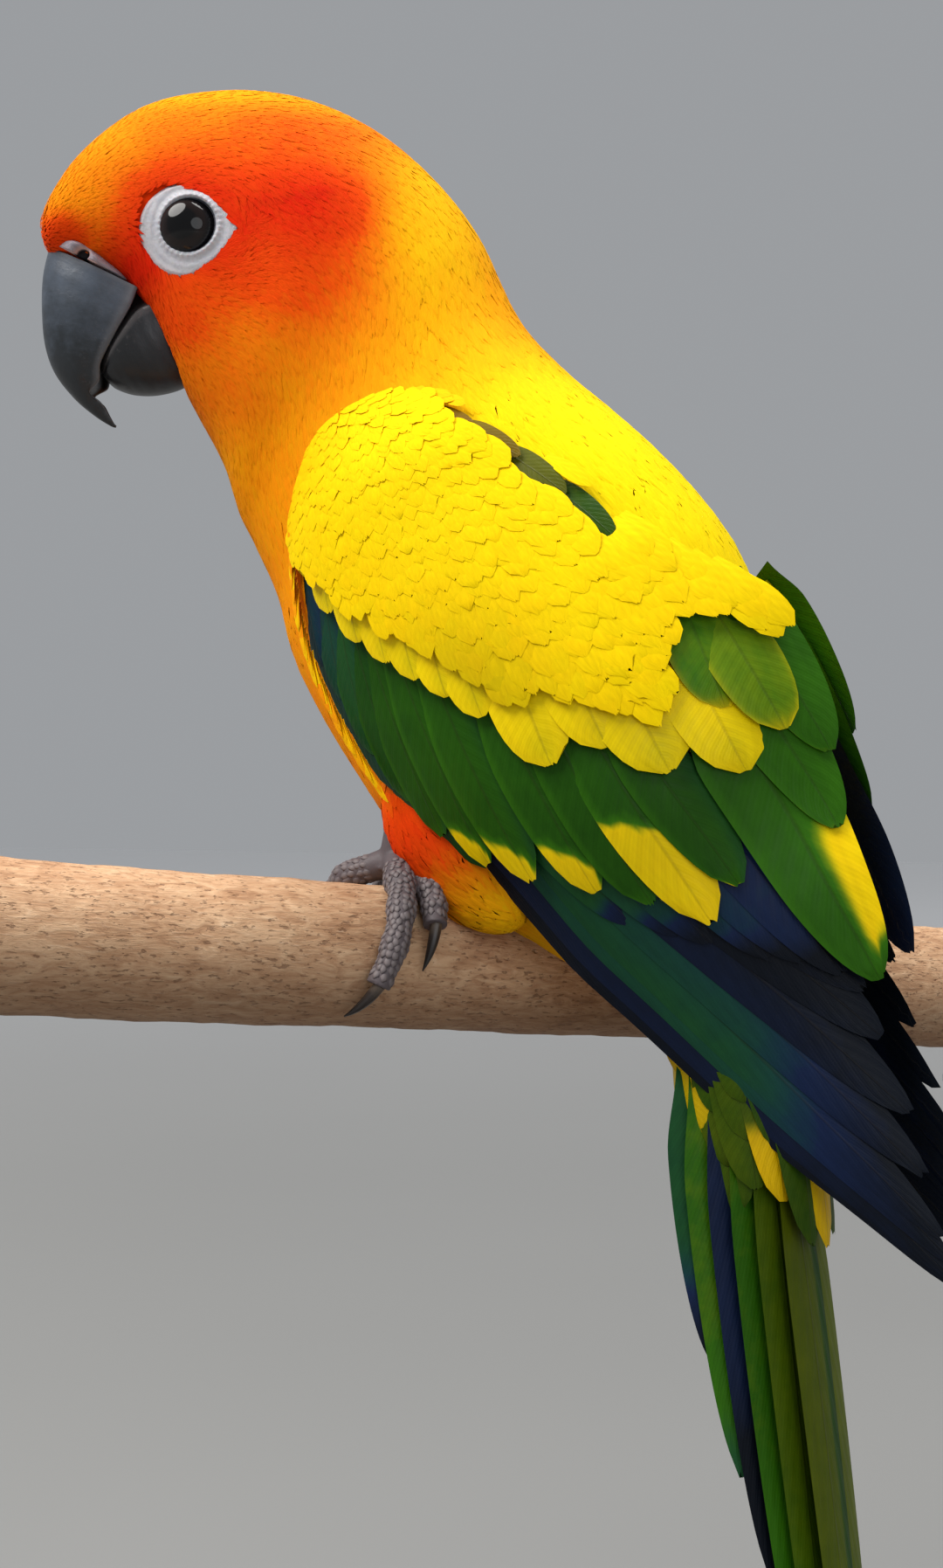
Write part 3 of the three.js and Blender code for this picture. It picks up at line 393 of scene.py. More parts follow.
def make_piece(name, points, faces, finish, marks=None, vane=None, baked=None):
    """A mesh piece from points of the model's frame and lists of faces, one array for each corner count."""
    mesh = bpy.data.meshes.new(name)
    mesh.vertices.add(len(points))
    write_points(mesh, points)
    corners = np.concatenate([face.ravel() for face in faces])
    counts = np.concatenate([np.full(len(face), face.shape[1]) for face in faces])
    starts = np.concatenate([[0], np.cumsum(counts)[:-1]])
    mesh.loops.add(len(corners))
    mesh.loops.foreach_set("vertex_index", corners.astype(np.int32))
    mesh.polygons.add(len(counts))
    mesh.polygons.foreach_set("loop_start", starts.astype(np.int32))
    mesh.update(calc_edges=True)
    for field, values in (("marking", marks), ("vane", vane)):
        if values is not None:
            write_field(mesh, field, values)
    if baked is not None:
        layer = mesh.uv_layers.new(name="OFBake")
        layer.data.foreach_set("uv", np.ascontiguousarray(baked[corners], np.float32).ravel())
    mesh.polygons.foreach_set("use_smooth", np.ones(len(counts), bool))
    if vane is not None:
        mesh.set_sharp_from_angle(angle=VANE_FOLD)
    piece = bpy.data.objects.new(name, mesh)
    bpy.context.scene.collection.objects.link(piece)
    if finish is not None:
        mesh.materials.append(finish)
    return piece


def dress(piece, slot, *nodes):
    """Hangs a finished piece from the root, and hides the nodes that it stands for. `slot`, its finish, is
    not used.
    """
    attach(piece, "root")
    if nodes:
        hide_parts(*nodes)
    return piece


def tube_faces(rows, columns):
    """Quads round a closed form, and a cap at each end."""
    i, j = np.meshgrid(np.arange(rows - 1), np.arange(columns), indexing="ij")
    over = (j + 1) % columns
    below = (i + 1) * columns
    quads = np.stack([i * columns + j, i * columns + over, below + over, below + j], -1)
    lane = np.arange(columns)
    caps = np.stack([lane[::-1], (rows - 1) * columns + lane])
    return [quads.reshape(-1, 4), caps]


def tube_piece(name, rings, marks=None, capped=True):
    """A piece through rings of points of the bird's frame."""
    faces = tube_faces(*rings.shape[:2])
    flat = None if marks is None else marks.reshape(-1, 3)
    return make_piece(name, to_model(rings).reshape(-1, 3), faces if capped else faces[:1], None, flat)


# Hand modelling: shapes that are started from a primitive and worked in edit mode.

DOUBLED = 0.001                  # points nearer to each other than this, in mm, are one


def start_fresh():
    """Leaves nothing selected, so that an operator acts on the new piece alone."""
    if bpy.context.object and bpy.context.object.mode != "OBJECT":
        bpy.ops.object.mode_set(mode="OBJECT")
    bpy.ops.object.select_all(action="DESELECT")


def hold(piece):
    """Makes a piece the only one selected, and the active one."""
    start_fresh()
    piece.select_set(True)
    bpy.context.view_layer.objects.active = piece
    return piece


def choose(piece, wanted, kind="verts"):
    """Selects the points, edges or faces of a piece in edit mode that `wanted` says yes to."""
    bpy.ops.mesh.select_mode(type={"verts": "VERT", "edges": "EDGE", "faces": "FACE"}[kind])
    bpy.ops.mesh.select_all(action="DESELECT")
    grid = bmesh.from_edit_mesh(piece.data)
    for part in getattr(grid, kind):
        part.select_set(bool(wanted(part)))
    grid.select_flush_mode()
    bmesh.update_edit_mesh(piece.data)


def close_up(piece, finish, angle=None):
    """Merges doubled points, turns the faces outwards, smooths, and puts the finish on."""
    hold(piece)
    bpy.ops.object.transform_apply(location=True, rotation=True, scale=True)
    bpy.ops.object.mode_set(mode="EDIT")
    bpy.ops.mesh.select_all(action="SELECT")
    bpy.ops.mesh.remove_doubles(threshold=DOUBLED * MM)
    bpy.ops.mesh.normals_make_consistent(inside=False)
    bpy.ops.object.mode_set(mode="OBJECT")
    if angle is None:
        bpy.ops.object.shade_smooth()
    else:
        bpy.ops.object.shade_smooth_by_angle(angle=angle)
    piece.data.materials.clear()
    piece.data.materials.append(finish)
    return piece


def loft_piece(name, rings, finish, marks, angle=None):
    """A closed piece through rings of points of the bird's frame."""
    return close_up(tube_piece(name, rings, marks), finish, angle)


def melt(parts, name, cell, rounds, finish):
    """Joins closed forms into one skin of `cell` mm, in which no seam shows."""
    start_fresh()
    for part in parts:
        part.select_set(True)
    bpy.context.view_layer.objects.active = parts[0]
    bpy.ops.object.join()
    skin = bpy.context.view_layer.objects.active
    skin.name = name
    skin.data.remesh_voxel_size = cell * MM
    bpy.ops.object.voxel_remesh()
    relax = skin.modifiers.new("relax", "SMOOTH")
    relax.factor = 0.5
    relax.iterations = rounds
    bpy.ops.object.modifier_apply(modifier=relax.name)
    bpy.ops.object.shade_smooth()
    skin.data.materials.clear()
    skin.data.materials.append(finish)
    return skin


# Feathers. Each is a thin closed vane: an arched upper face over a flat lower one.

class Shape:
    """The outline of a kind of feather, as a grid of stations along it and lanes across it."""

    def __init__(self, stations, lanes, full_at, root_width, tip_power, fray):
        self.u = np.linspace(0, 1, stations) ** 0.92
        self.v = np.linspace(-1, 1, lanes)
        self.stations = stations
        self.lanes = lanes
        rise = root_width + (1 - root_width) * smooth(0, full_at, self.u)
        past = np.clip((self.u - full_at) / (1.0 - full_at), 0, 1)
        self.width = rise * (1 - past ** tip_power) ** (1 / tip_power)
        self.width[-1] = max(self.width[-1], 0.16)
        self.fray = fray

    def faces(self, count, turned=False):
        """Quads and end caps of `count` feathers that follow each other in the array."""
        def index(i, j):
            return i * self.lanes + j
        i, j = np.meshgrid(np.arange(self.stations - 1), np.arange(self.lanes - 1), indexing="ij")
        top = beside(index(i, j), index(i + 1, j), index(i + 1, j + 1), index(i, j + 1)).reshape(-1, 4)
        k = np.arange(self.stations - 1)
        last = self.lanes - 1
        under = np.stack([index(k, 0), index(k, last), index(k + 1, last), index(k + 1, 0)], -1)
        lane = np.arange(self.lanes)
        caps = np.stack([index(0, lane), index(self.stations - 1, lane[::-1])])
        size = self.stations * self.lanes
        start = (np.arange(count) * size)[:, None, None]
        sheets = []
        for face in (np.concatenate([top, under]), caps):
            many = (face[None] + start).reshape(-1, face.shape[1])
            sheets.append(many[:, ::-1] if turned else many)
        return sheets


def lay(surface, shape, root, heading, length, half, rng, rise, arch, twist=0.0, flat=1.6):
    """Points of feathers laid on a surface, as (feathers, points, 3), and their places along and across.

    `rise` holds the height of the root and of the tip above the surface. `arch` is the height of the
    midline over the edges, as a share of the half width. `twist` turns one edge up. The more `flat` a
    feather is, the nearer to its root it has risen to its full height.
    """
    count = len(root)
    u = np.repeat(shape.u, shape.lanes)[None]
    v = np.tile(shape.v, shape.stations)[None]
    width = np.repeat(shape.width, shape.lanes)[None]
    length = length[:, None]
    half = half[:, None]
    longer, wider = (np.tile(rng.uniform(-1, 1, (count, shape.lanes)), (1, shape.stations))
                     for _ in range(2))
    x = length * (u + shape.fray * longer * u ** 3)
    y = half * width * v * (1 + 0.5 * shape.fray * wider * u)
    low, high = (np.broadcast_to(np.asarray(end, float), (count,))[:, None] for end in rise)
    height = low + (high - low) * (1 - (1 - u) ** flat)
    height = height + arch * half * width * (1 - v ** 2) + twist * y
    return surface.place(root, heading, x, y, height), u, v


def vane_marks(shape, count, rng):
    """Each point's share along its feather, its share across it, and the feather's own number."""
    u = np.repeat(shape.u, shape.lanes)
    v = np.tile(shape.v, shape.stations)
    return beside(u, v, rng.uniform(0, 1, count)[:, None])


PATCH = 0.003                    # width of a tuft's own patch on the baking map


def patch_map(shape, centre):
    """Baking map of tufts: each a small patch at its root's place on the unwrap of the surface."""
    u = np.repeat(shape.u, shape.lanes) - 0.5
    v = np.tile(shape.v, shape.stations) / 2
    spread = np.stack([v, u], -1) * PATCH
    return centre[:, None, :] + spread[None]


def cell_map(shape, count):
    """Baking map of long feathers: one cell each, side by side."""
    u = np.repeat(shape.u, shape.lanes)
    v = np.tile(shape.v, shape.stations) / 2 + 0.5
    columns = min(count, 16)
    lines = math.ceil(count / columns)
    number = np.arange(count)
    cell = np.stack([(number % columns) / columns, (number // columns) / lines], -1)
    inside = np.stack([0.08 + 0.84 * v, 0.02 + 0.96 * u], -1) / (columns, lines)
    return cell[:, None, :] + inside[None]


def feather_piece(name, shape, points, marks, baked, finish, rng, turned=False):
    """A piece of feathers that follow each other in one array, with their markings and baking map."""
    count = len(points)
    return make_piece(name, to_model(points).reshape(-1, 3), shape.faces(count, turned), finish,
                      marks.reshape(-1, 3), vane_marks(shape, count, rng).reshape(-1, 3),
                      baked.reshape(-1, 2))


# Finishes.

def srgb(red, green, blue):
    """A colour given as on a screen, 0 to 255, in the linear values that the shaders use."""
    def linear(value):
        value /= 255
        return value / 12.92 if value <= 0.04045 else ((value + 0.055) / 1.055) ** 2.4
    return (linear(red), linear(green), linear(blue), 1.0)


class Number:
    """A number of a finish that changes over the surface, with the arithmetic that the finishes use."""

    def __init__(self, finish, socket):
        self.finish = finish
        self.socket = socket

    def _sum(self, operation, a, b=0.0, c=0.0):
        return self.finish.node("ShaderNodeMath", {"operation": operation}, [a, b, c])

    def __add__(self, other):
        return self._sum("ADD", self, other)

    def __radd__(self, other):
        return self._sum("ADD", other, self)

    def __sub__(self, other):
        return self._sum("SUBTRACT", self, other)

    def __rsub__(self, other):
        return self._sum("SUBTRACT", other, self)

    def __mul__(self, other):
        return self._sum("MULTIPLY", self, other)

    def __rmul__(self, other):
        return self._sum("MULTIPLY", other, self)

    def __truediv__(self, other):
        return self._sum("DIVIDE", self, other)

    def __pow__(self, other):
        return self._sum("POWER", self, other)

    def __neg__(self):
        return self._sum("MULTIPLY", self, -1.0)

    def sine(self):
        return self._sum("SINE", self)

    def size(self):
        return self._sum("ABSOLUTE", self)

    def step(self, low, high):
        """0 below `low` and 1 above `high`, with a soft step between."""
        settings = {"interpolation_type": "SMOOTHSTEP"}
        return self.finish.node("ShaderNodeMapRange", settings, [self, low, high, 0.0, 1.0])


class Finish:
    """A material, with short ways to add its nodes."""

    def __init__(self, name, roughness=0.6, **constants):
        self.material = bpy.data.materials.new(name)
        self.material.use_nodes = True
        self.tree = self.material.node_tree
        self.shader = next(n for n in self.tree.nodes if n.type == "BSDF_PRINCIPLED")
        self.shader.inputs["Roughness"].default_value = roughness
        for socket, value in constants.items():
            self.shader.inputs[socket.replace("_", " ")].default_value = value

    def node(self, kind, settings, values, output=0):
        """Adds a node: its settings first, then the values or links of its sockets in their order."""
        node = self.tree.nodes.new(kind)
        for key, value in settings.items():
            setattr(node, key, value)
        sockets = [socket for socket in node.inputs if socket.enabled]
        if isinstance(values, dict):
            pairs = [(node.inputs[key], value) for key, value in values.items()]
        else:
            pairs = list(zip(sockets, values))
        for socket, value in pairs:
            if isinstance(value, Number):
                self.tree.links.new(value.socket, socket)
            elif value is not None:
                socket.default_value = value
        outputs = [socket for socket in node.outputs if socket.enabled]
        return Number(self, outputs[output])

    def place(self):
        """Object coordinates, in metres."""
        node = self.tree.nodes.new("ShaderNodeTexCoord")
        return Number(self, node.outputs["Object"])

    def attribute(self, name):
        """The three numbers of one of the piece's own attributes."""
        node = self.tree.nodes.new("ShaderNodeAttribute")
        node.attribute_name = name
        return [self.parts(Number(self, node.outputs["Vector"]), k) for k in range(3)]

    def parts(self, vector, k):
        return self.node("ShaderNodeSeparateXYZ", {}, [vector], k)

    def joined(self, x, y, z):
        return self.node("ShaderNodeCombineXYZ", {}, [x, y, z])

    def shaded(self, colour, tone):
        """A colour made darker by a tone of zero to one."""
        return self.mix(colour, self.joined(tone, tone, tone), 1.0, "MULTIPLY")

    def scaled(self, vector, scale):
        return self.node("ShaderNodeVectorMath", {"operation": "MULTIPLY"}, [vector, scale])

    def noise(self, vector, scale, detail=3.0, rough=0.5, distortion=0.0):
        values = {"Vector": vector, "Scale": scale, "Detail": detail, "Roughness": rough,
                  "Distortion": distortion}
        return self.node("ShaderNodeTexNoise", {}, values)

    def cells(self, vector, scale, feature="F1"):
        return self.node("ShaderNodeTexVoronoi", {"feature": feature}, {"Vector": vector, "Scale": scale})

    def ramp(self, value, stops, interpolation="LINEAR"):
        node = self.tree.nodes.new("ShaderNodeValToRGB")
        node.color_ramp.interpolation = interpolation
        elements = node.color_ramp.elements
        while len(elements) < len(stops):
            elements.new(0.5)
        for element, (place, colour) in zip(elements, stops):
            element.position = place
            element.color = colour
        self.tree.links.new(value.socket, node.inputs["Fac"])
        return Number(self, node.outputs["Color"])

    def mix(self, a, b, factor, way="MIX"):
        node = self.tree.nodes.new("ShaderNodeMix")
        node.data_type = "RGBA"
        node.blend_type = way
        sockets = {socket.identifier: socket for socket in node.inputs}
        for key, value in (("Factor_Float", factor), ("A_Color", a), ("B_Color", b)):
            if isinstance(value, Number):
                self.tree.links.new(value.socket, sockets[key])
            else:
                sockets[key].default_value = value
        result = next(s for s in node.outputs if s.identifier == "Result_Color")
        return Number(self, result)

    def bump(self, height, distance, strength=1.0):
        """A bump whose full height is `distance` in mm."""
        node = self.tree.nodes.new("ShaderNodeBump")
        node.inputs["Strength"].default_value = strength
        node.inputs["Distance"].default_value = distance * MM
        self.tree.links.new(height.socket, node.inputs["Height"])
        self.tree.links.new(node.outputs["Normal"], self.shader.inputs["Normal"])

    def wear(self, **sockets):
        """Links what changes over the surface to the shader."""
        for socket, value in sockets.items():
            self.tree.links.new(value.socket, self.shader.inputs[socket.replace("_", " ")])
        return self.material


# Colours of the plumage, from yellow to red.
YELLOW = srgb(250, 218, 3)
GOLD = srgb(250, 186, 3)
ORANGE = srgb(250, 140, 6)
FLAME = srgb(244, 78, 6)
RED = srgb(222, 34, 4)
LIME = srgb(146, 164, 12)
LEAF = srgb(50, 104, 10)
DEEP_GREEN = srgb(24, 66, 6)
TEAL = srgb(18, 72, 58)
INDIGO = srgb(20, 34, 66)
NIGHT = srgb(12, 17, 26)


def plumage_colour(finish, warm, green, dark, own):
    """Colour of a feather from its marking: how warm, how green and how dark it is.

    Where the last is below zero the colour is dulled instead of turning blue-black.
    """
    place = finish.place()
    mottle = finish.noise(place, 260.0, 4.0, 0.6)
    broad = finish.noise(place, 90.0, 2.0, 0.5)
    warm = warm + (mottle - 0.5) * 0.12 + (broad - 0.5) * 0.10 + (own - 0.5) * 0.05
    hot = finish.ramp(warm, [(0.0, YELLOW), (0.25, GOLD), (0.5, ORANGE), (0.75, FLAME), (1.0, RED)])
    shade = green + (mottle - 0.5) * 0.20 + (own - 0.5) * 0.10
    leafy = finish.ramp(shade, [(0.25, LIME), (0.6, LEAF), (1.0, DEEP_GREEN)])
    colour = finish.mix(hot, leafy, green.step(0.18, 0.52))
    night = finish.ramp(dark + (mottle - 0.5) * 0.16, [(0.25, TEAL), (0.6, INDIGO), (0.95, NIGHT)])
    coloured = finish.mix(colour, night, dark.step(0.12, 0.55))
    # Dulling below zero: a duller colour of its own in some places, painted shade in others.
    dulled = 1.0 - (-dark).step(0.0, 1.0) * 0.75
    return finish.shaded(coloured, dulled)


def coat_finish():
    """Soft contour feathers: fine barbs, a paler fringe and a darker root."""
    finish = Finish("plumage", 0.75, Specular_IOR_Level=0.05)
    warm, green, dark = finish.attribute("marking")
    along, across, own = finish.attribute("vane")
    colour = plumage_colour(finish, warm, green, dark, own)
    barbs = (along * 26.0 - across.size() * 9.0 + own * 40.0).sine()
    hairs = finish.noise(finish.joined(across * 5.0 + own * 90.0, along * 1.1, own * 7.0), 1.0, 2.0, 0.6)
    tone = 0.92 + barbs * 0.02 + (hairs - 0.5) * 0.32 + along * 0.06 + (own - 0.5) * 0.07
    finish.bump(barbs * 0.25 + hairs * 1.4, 0.05, 0.5)
    return finish.wear(Base_Color=finish.shaded(colour, tone))


def vane_finish():
    """Flight and tail feathers and coverts: close barbs on each side of a shaft, with a slight gloss."""
    finish = Finish("flight_feathers", 0.50, Specular_IOR_Level=0.10)
    warm, green, dark = finish.attribute("marking")
    along, across, own = finish.attribute("vane")
    colour = plumage_colour(finish, warm, green, dark, own)
    slant = along * 90.0 - across.size() * 16.0 + own * 30.0
    barbs = slant.sine()
    fine = (slant * 3.1).sine()
    shaft = 1.0 - across.size().step(0.01, 0.07)
    streak = finish.noise(finish.joined(across * 4.0 + own * 60.0, along * 3.0, own * 9.0), 1.0, 3.0, 0.6)
    tone = 0.96 + barbs * 0.025 + fine * 0.015 + (streak - 0.5) * 0.30 + (own - 0.5) * 0.08
    shaded = finish.mix(finish.shaded(colour, tone), srgb(40, 34, 20), shaft * 0.22)
    finish.bump(barbs * 0.2 + fine * 0.1 + streak * 0.9 + shaft * 1.0, 0.08, 0.5)
    rough = 0.40 + barbs * 0.05 + (1.0 - along) * 0.08
    return finish.wear(Base_Color=shaded, Roughness=rough)


def skin_finish():
    """The skin under the feathers, in their own markings and a little darker."""
    finish = Finish("down", 0.9, Specular_IOR_Level=0.05)
    warm, green, dark = finish.attribute("marking")
    own = finish.noise(finish.place(), 90.0, 2.0)
    colour = plumage_colour(finish, warm, green, dark, own)
    fluff = finish.noise(finish.place(), 900.0, 4.0, 0.7)
    finish.bump(fluff, 0.25, 0.6)
    return finish.wear(Base_Color=finish.shaded(colour, 0.82 + fluff * 0.2))


# Markings, shared by the skin and the feathers: how warm, how green and how dark each place is.

# Patches of the head: x and z of the middle in the head's frame, reach along x and z, warmth.
HEAD_PATCHES = [
    (28.0, 112.0, 14.0, 5.0, 0.68),
    (42.0, 113.0, 8.0, 4.0, 0.57),
    (30.0, 120.0, 34.0, 4.0, 0.40),
    (58.5, 98.8, 5.0, 3.6, 0.86),
    (53.0, 106.0, 8.0, 5.0, 0.50),
    (30.0, 97.0, 15.0, 14.0, 0.82),
    (42.0, 99.0, 9.5, 9.0, 1.00),
    (26.0, 101.0, 10.0, 6.0, 0.97),
    (48.0, 93.0, 6.0, 6.0, 1.00),
    (37.0, 78.5, 10.0, 7.0, 0.60),
    (42.0, 87.0, 6.0, 5.0, 0.76),
    (7.0, 98.0, 7.5, 17.0, 0.26),
]


BROW = {"x": 32.2, "z": 100.9, "slope": 0.17}   # the dark line behind each eye, in the head's frame


def body_marks(points):
    """Marking of the head, neck, body and thighs at points of the bird's frame."""
    head = bird_to_head(points)
    warm_head = np.full(points.shape[:-1], 0.44)
    for x, z, reach_x, reach_z, level in HEAD_PATCHES:
        apart = ((head[..., 0] - x) / reach_x) ** 2 + ((head[..., 2] - z) / reach_z) ** 2
        warm_head = blend(warm_head, level, np.exp(-apart ** 1.5))
    p, q = body_pq(points)
    back = smooth(2.0, 17.0, q)
    warm_back = 0.26 - 0.26 * smooth(-12.0, 12.0, p)
    warm_front = 0.46 + 0.40 * smooth(26.0, 36.0, p) - 0.56 * smooth(38.0, 52.0, p)
    warm_body = blend(warm_front, warm_back, back)
    on_body = smooth(-22.0, 2.0, p)
    warm = blend(warm_head, warm_body, on_body)
    green = 0.44 * smooth(56.0, 74.0, p) * blend(0.75, 1.0, back)
    # Chin and throat dulled: partly their own duller olive, partly painted shade under the head.
    chin = np.exp(-((head[..., 0] - 36) / 12) ** 2 - ((head[..., 2] - 76) / 9) ** 2) * (1 - on_body)
    # Painted shade: `low` dulls the lower breast and belly, where shade falls under the wing.
    low = 0.42 * smooth(24.0, 44.0, p) * (1 - back)
    brow_line = BROW["z"] + (BROW["x"] - head[..., 0]) * BROW["slope"]
    brow = np.exp(-((head[..., 2] - brow_line) / 0.6) ** 2) * (1 - on_body)
    brow = brow * smooth(18.0, 22.0, head[..., 0]) * smooth(33.5, 31.5, head[..., 0])
    return np.stack([blend(warm, 1.0, brow), green, -0.22 * chin - low - 0.45 * brow], axis=-1)


# Upper edge of the cere's bare skin, in the head's frame: x, z.
CERE_LINE = [[44, 89.0], [46, 91.1], [50, 93.3], [53, 95.2], [55.5, 97.1], [57.5, 98.0], [60.8, 98.4],
             [64, 98.5]]


def above_cere(points):
    """Which points lie on the feathered side of the cere's upper edge."""
    head = bird_to_head(points)
    return (head[:, 2] > through(CERE_LINE, head[:, 0])[:, 0]) & (head[:, 0] > 44)


# Lower edge of the yellow coverts: p along the body, q across it.
YELLOW_EDGE = [[-20, -14], [1, -11], [14.5, -9.5], [29, -3.4], [41.6, 2], [46, 5.3], [54, 14.5], [59, 24.4]]


def wing_marks(p, q):
    """Marking of the wing's small coverts."""
    edge = through(YELLOW_EDGE, np.clip(p, -20, 62))[..., 0]
    below = smooth(-1.0, -4.0, q - edge)
    warm = 0.06 + 0.10 * smooth(0.0, -14.0, p)
    # `low`: the lower coverts' own olive green, and a painted shade where the light falls off.
    low = smooth(2.0, 34.0, p) * smooth(24.0, 2.0, q)
    green = 0.14 + 0.14 * low
    return np.stack([warm, blend(green, 0.88, below), blend(-0.42 * low, 0.35, below)], axis=-1)


# The body's surface, and the skin that lies inside it.

RING_COLUMNS = 256
ROW_STEP = 0.4


def body_ring(front_x, front_z, back_x, back_z, half_width, turn):
    """A flat section of the body through a front and a back point."""
    angle = angles_round(RING_COLUMNS)
    reach = math.hypot(back_x - front_x, back_z - front_z) / 2
    to_back = ((back_x - front_x) / (2 * reach), (back_z - front_z) / (2 * reach))
    back = np.sign(np.cos(angle)) * np.abs(np.cos(angle)) ** (2 / BODY_SQUARENESS) * reach
    side = np.sign(np.sin(angle)) * np.abs(np.sin(angle)) ** (2 / BODY_SQUARENESS) * half_width
    x = (front_x + back_x) / 2 + to_back[0] * back
    z = (front_z + back_z) / 2 + to_back[1] * back
    return turned_round_neck(np.stack([x, side, z], axis=-1), turn * DEG)


def body_form():
    """Head, neck, body and the tail's root as one flowing surface."""
    rows = HEAD + NECK
    for p, front, back, half, turn in TORSO:
        breast = body_xyz(p, front, 0.0)
        spine = body_xyz(p, back, 0.0)
        rows = rows + [[breast[0], breast[2], spine[0], spine[2], half, turn]]
    rings = [body_ring(*row) for row in rows]
    angle = angles_round(RING_COLUMNS)
    for down, forward, half, deep in TAIL_ROOT:
        rings.append(tail_point(down, np.sin(angle) * half, forward - np.cos(angle) * deep))
    return Form(rings, ROW_STEP)


body = body_form()

# Feather sizes by the distance along the middle line from the forehead: spacing, length, half width,
# depth of the coat.
SIZES = [
    [0, 0.48, 1.7, 0.28, 0.24],
    [12, 0.52, 2.3, 0.34, 0.28],
    [26, 0.58, 3.0, 0.42, 0.34],
    [40, 0.72, 4.4, 0.60, 0.44],
    [56, 0.94, 6.0, 0.88, 0.54],
    [74, 1.15, 7.6, 1.15, 0.62],
    [98, 1.32, 9.0, 1.35, 0.72],
    [130, 1.34, 9.0, 1.35, 0.74],
    [152, 1.30, 8.4, 1.30, 0.72],
    [176, 1.25, 8.0, 1.20, 0.70],
]


def size_at(form, rows):
    """Spacing, length, half width and coat depth at rows of the body's surface."""
    return through(SIZES, rows / (form.rows - 1) * form.reach)


THIGHS = {
    "left": [[6, 8, 29, 3.5], [3.5, 10.5, 24.5, 6.6], [0.5, 12, 19.5, 8.4], [-3.5, 13, 14.8, 8.4],
             [-7.5, 14, 10.4, 6.4], [-10.2, 14.5, 7.9, 4.0], [-11.6, 14.7, 6.8, 1.9],
             [-12.0, 14.8, 6.5, 0.3]],
    "right": [[2, -9.5, 30, 4.5], [-1, -11, 25, 8.0], [-5, -12.5, 19.5, 9.0], [-9.5, -14, 14.5, 8.2],
              [-13, -15.2, 10.5, 6.0], [-15.4, -15.8, 8.5, 3.8], [-16.7, -16.2, 7.4, 1.7],
              [-17.0, -16.3, 7.2, 0.3]],
}
THIGH_COLUMNS = 64
# Under the wing that lies on it a thigh is flatter: how round it is from side to side, and how far out its
# middle is, from its top to its end.
THIGH_ROUND = [1.0, 0.86, 0.70, 0.62, 0.52, 0.50, 0.50, 0.50]
THIGH_OUT = [1.0, 0.97, 0.92, 0.88, 0.86, 0.85, 0.85, 0.85]


def thigh_form(rows):
    """A feathered thigh as a surface: round sections along a bent line."""
    rows = np.array(rows, float)
    rows[:, 1] *= THIGH_OUT
    along = unit(np.gradient(rows[:, :3], axis=0))
    across = unit(np.cross(np.array([0.0, 1.0, 0.0]), along))
    other = np.cross(along, across)
    angle = angles_round(THIGH_COLUMNS)
    rings = []
    for place, radius, a, b in zip(rows[:, :3], rows[:, 3], across, other * np.array(THIGH_ROUND)[:, None]):
        rings.append(place + radius * (np.cos(angle)[:, None] * a + np.sin(angle)[:, None] * b))
    return Form(rings, ROW_STEP)


thighs = {side: thigh_form(rows) for side, rows in THIGHS.items()}
THIGH_DEPTH = 0.9
PAD = {"start": -13.0, "end": 56.0, "rows": 60, "lanes": 24, "inset": 2.0, "outer": 4.3, "inner": 7.2}


def wing_pad(turned):
    """The fleshy part of a folded wing, under its feathers, as points and faces."""
    p = np.linspace(PAD["start"], PAD["end"], PAD["rows"])
    row = through(WING, p)
    lane = np.linspace(0, 1, PAD["lanes"])
    q = blend(row[:, 0:1] + PAD["inset"], row[:, 2:3] - PAD["inset"], lane[None])
    p = np.repeat(p[:, None], PAD["lanes"], 1)
    outer = wing_surface(p, q, np.full(p.shape, -PAD["outer"]))
    inner = wing_surface(p, q, np.full(p.shape, -PAD["inner"]))
    rings = np.concatenate([outer, inner[:, ::-1]], axis=1)
    if turned:
        rings = to_right_wing(rings)[:, ::-1]
    return rings


SKIN_CELL = 0.9                  # size of the skin's faces


def build_skin(finish):
    """One skin from the forehead to the tail's root, with wings and thighs, inside the coat."""
    depth = size_at(body, np.arange(body.rows))[:, 3]
    head = bird_to_head(body.points)
    from_eye = np.hypot(head[..., 0] - EYE["x"], head[..., 2] - EYE["z"])
    socket = 2.0 * np.exp(-(from_eye / 5.2) ** 4) * (np.abs(head[..., 1]) > 6.0)
    shells = [body.points - body.normals * (depth[:, None] + socket)[..., None]]
    for form in thighs.values():
        shells.append(form.points - form.normals * THIGH_DEPTH)
    shells += [wing_pad(False), wing_pad(True)]
    parts = [tube_piece("skin", shell) for shell in shells]
    for part in parts:
        hold(part)
        bpy.ops.object.mode_set(mode="EDIT")
        bpy.ops.mesh.select_all(action="SELECT")
        bpy.ops.mesh.normals_make_consistent(inside=False)
        bpy.ops.object.mode_set(mode="OBJECT")
    return melt(parts, "skin", SKIN_CELL, 6, finish)


def mark_skin(skin):
    """Gives the skin the same markings as the feathers above it."""
    points = to_bird(read_points(skin.data))
    marks = body_marks(points)
    p, q = body_pq(points)
    flank = np.abs(points[:, 1])
    row = through(WING, p)
    on_wing = (p < PAD["end"] + 2) & (q > row[:, 0]) & (q < row[:, 2])
    face_y = wing_surface(p, q, np.zeros_like(p))[:, 1]
    on_wing &= (flank > face_y - PAD["inner"] - 1.0) & (p > PAD["start"] - 2)
    marks[on_wing] = wing_marks(p[on_wing], q[on_wing])
    write_field(skin.data, "marking", marks)


def node_tree(*names):
    """A search tree of CAD nodes, for telling what lies inside them."""
    corners = []
    faces = []
    for name in names:
        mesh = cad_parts[name].data
        start = len(corners)
        corners += [vertex.co.copy() for vertex in mesh.vertices]
        faces += [[start + k for k in polygon.vertices] for polygon in mesh.polygons]
    return BVHTree.FromPolygons(corners, faces)


INSIDE_REACH = 10.0              # a point further than this from a node's surface isn't inside it, in mm


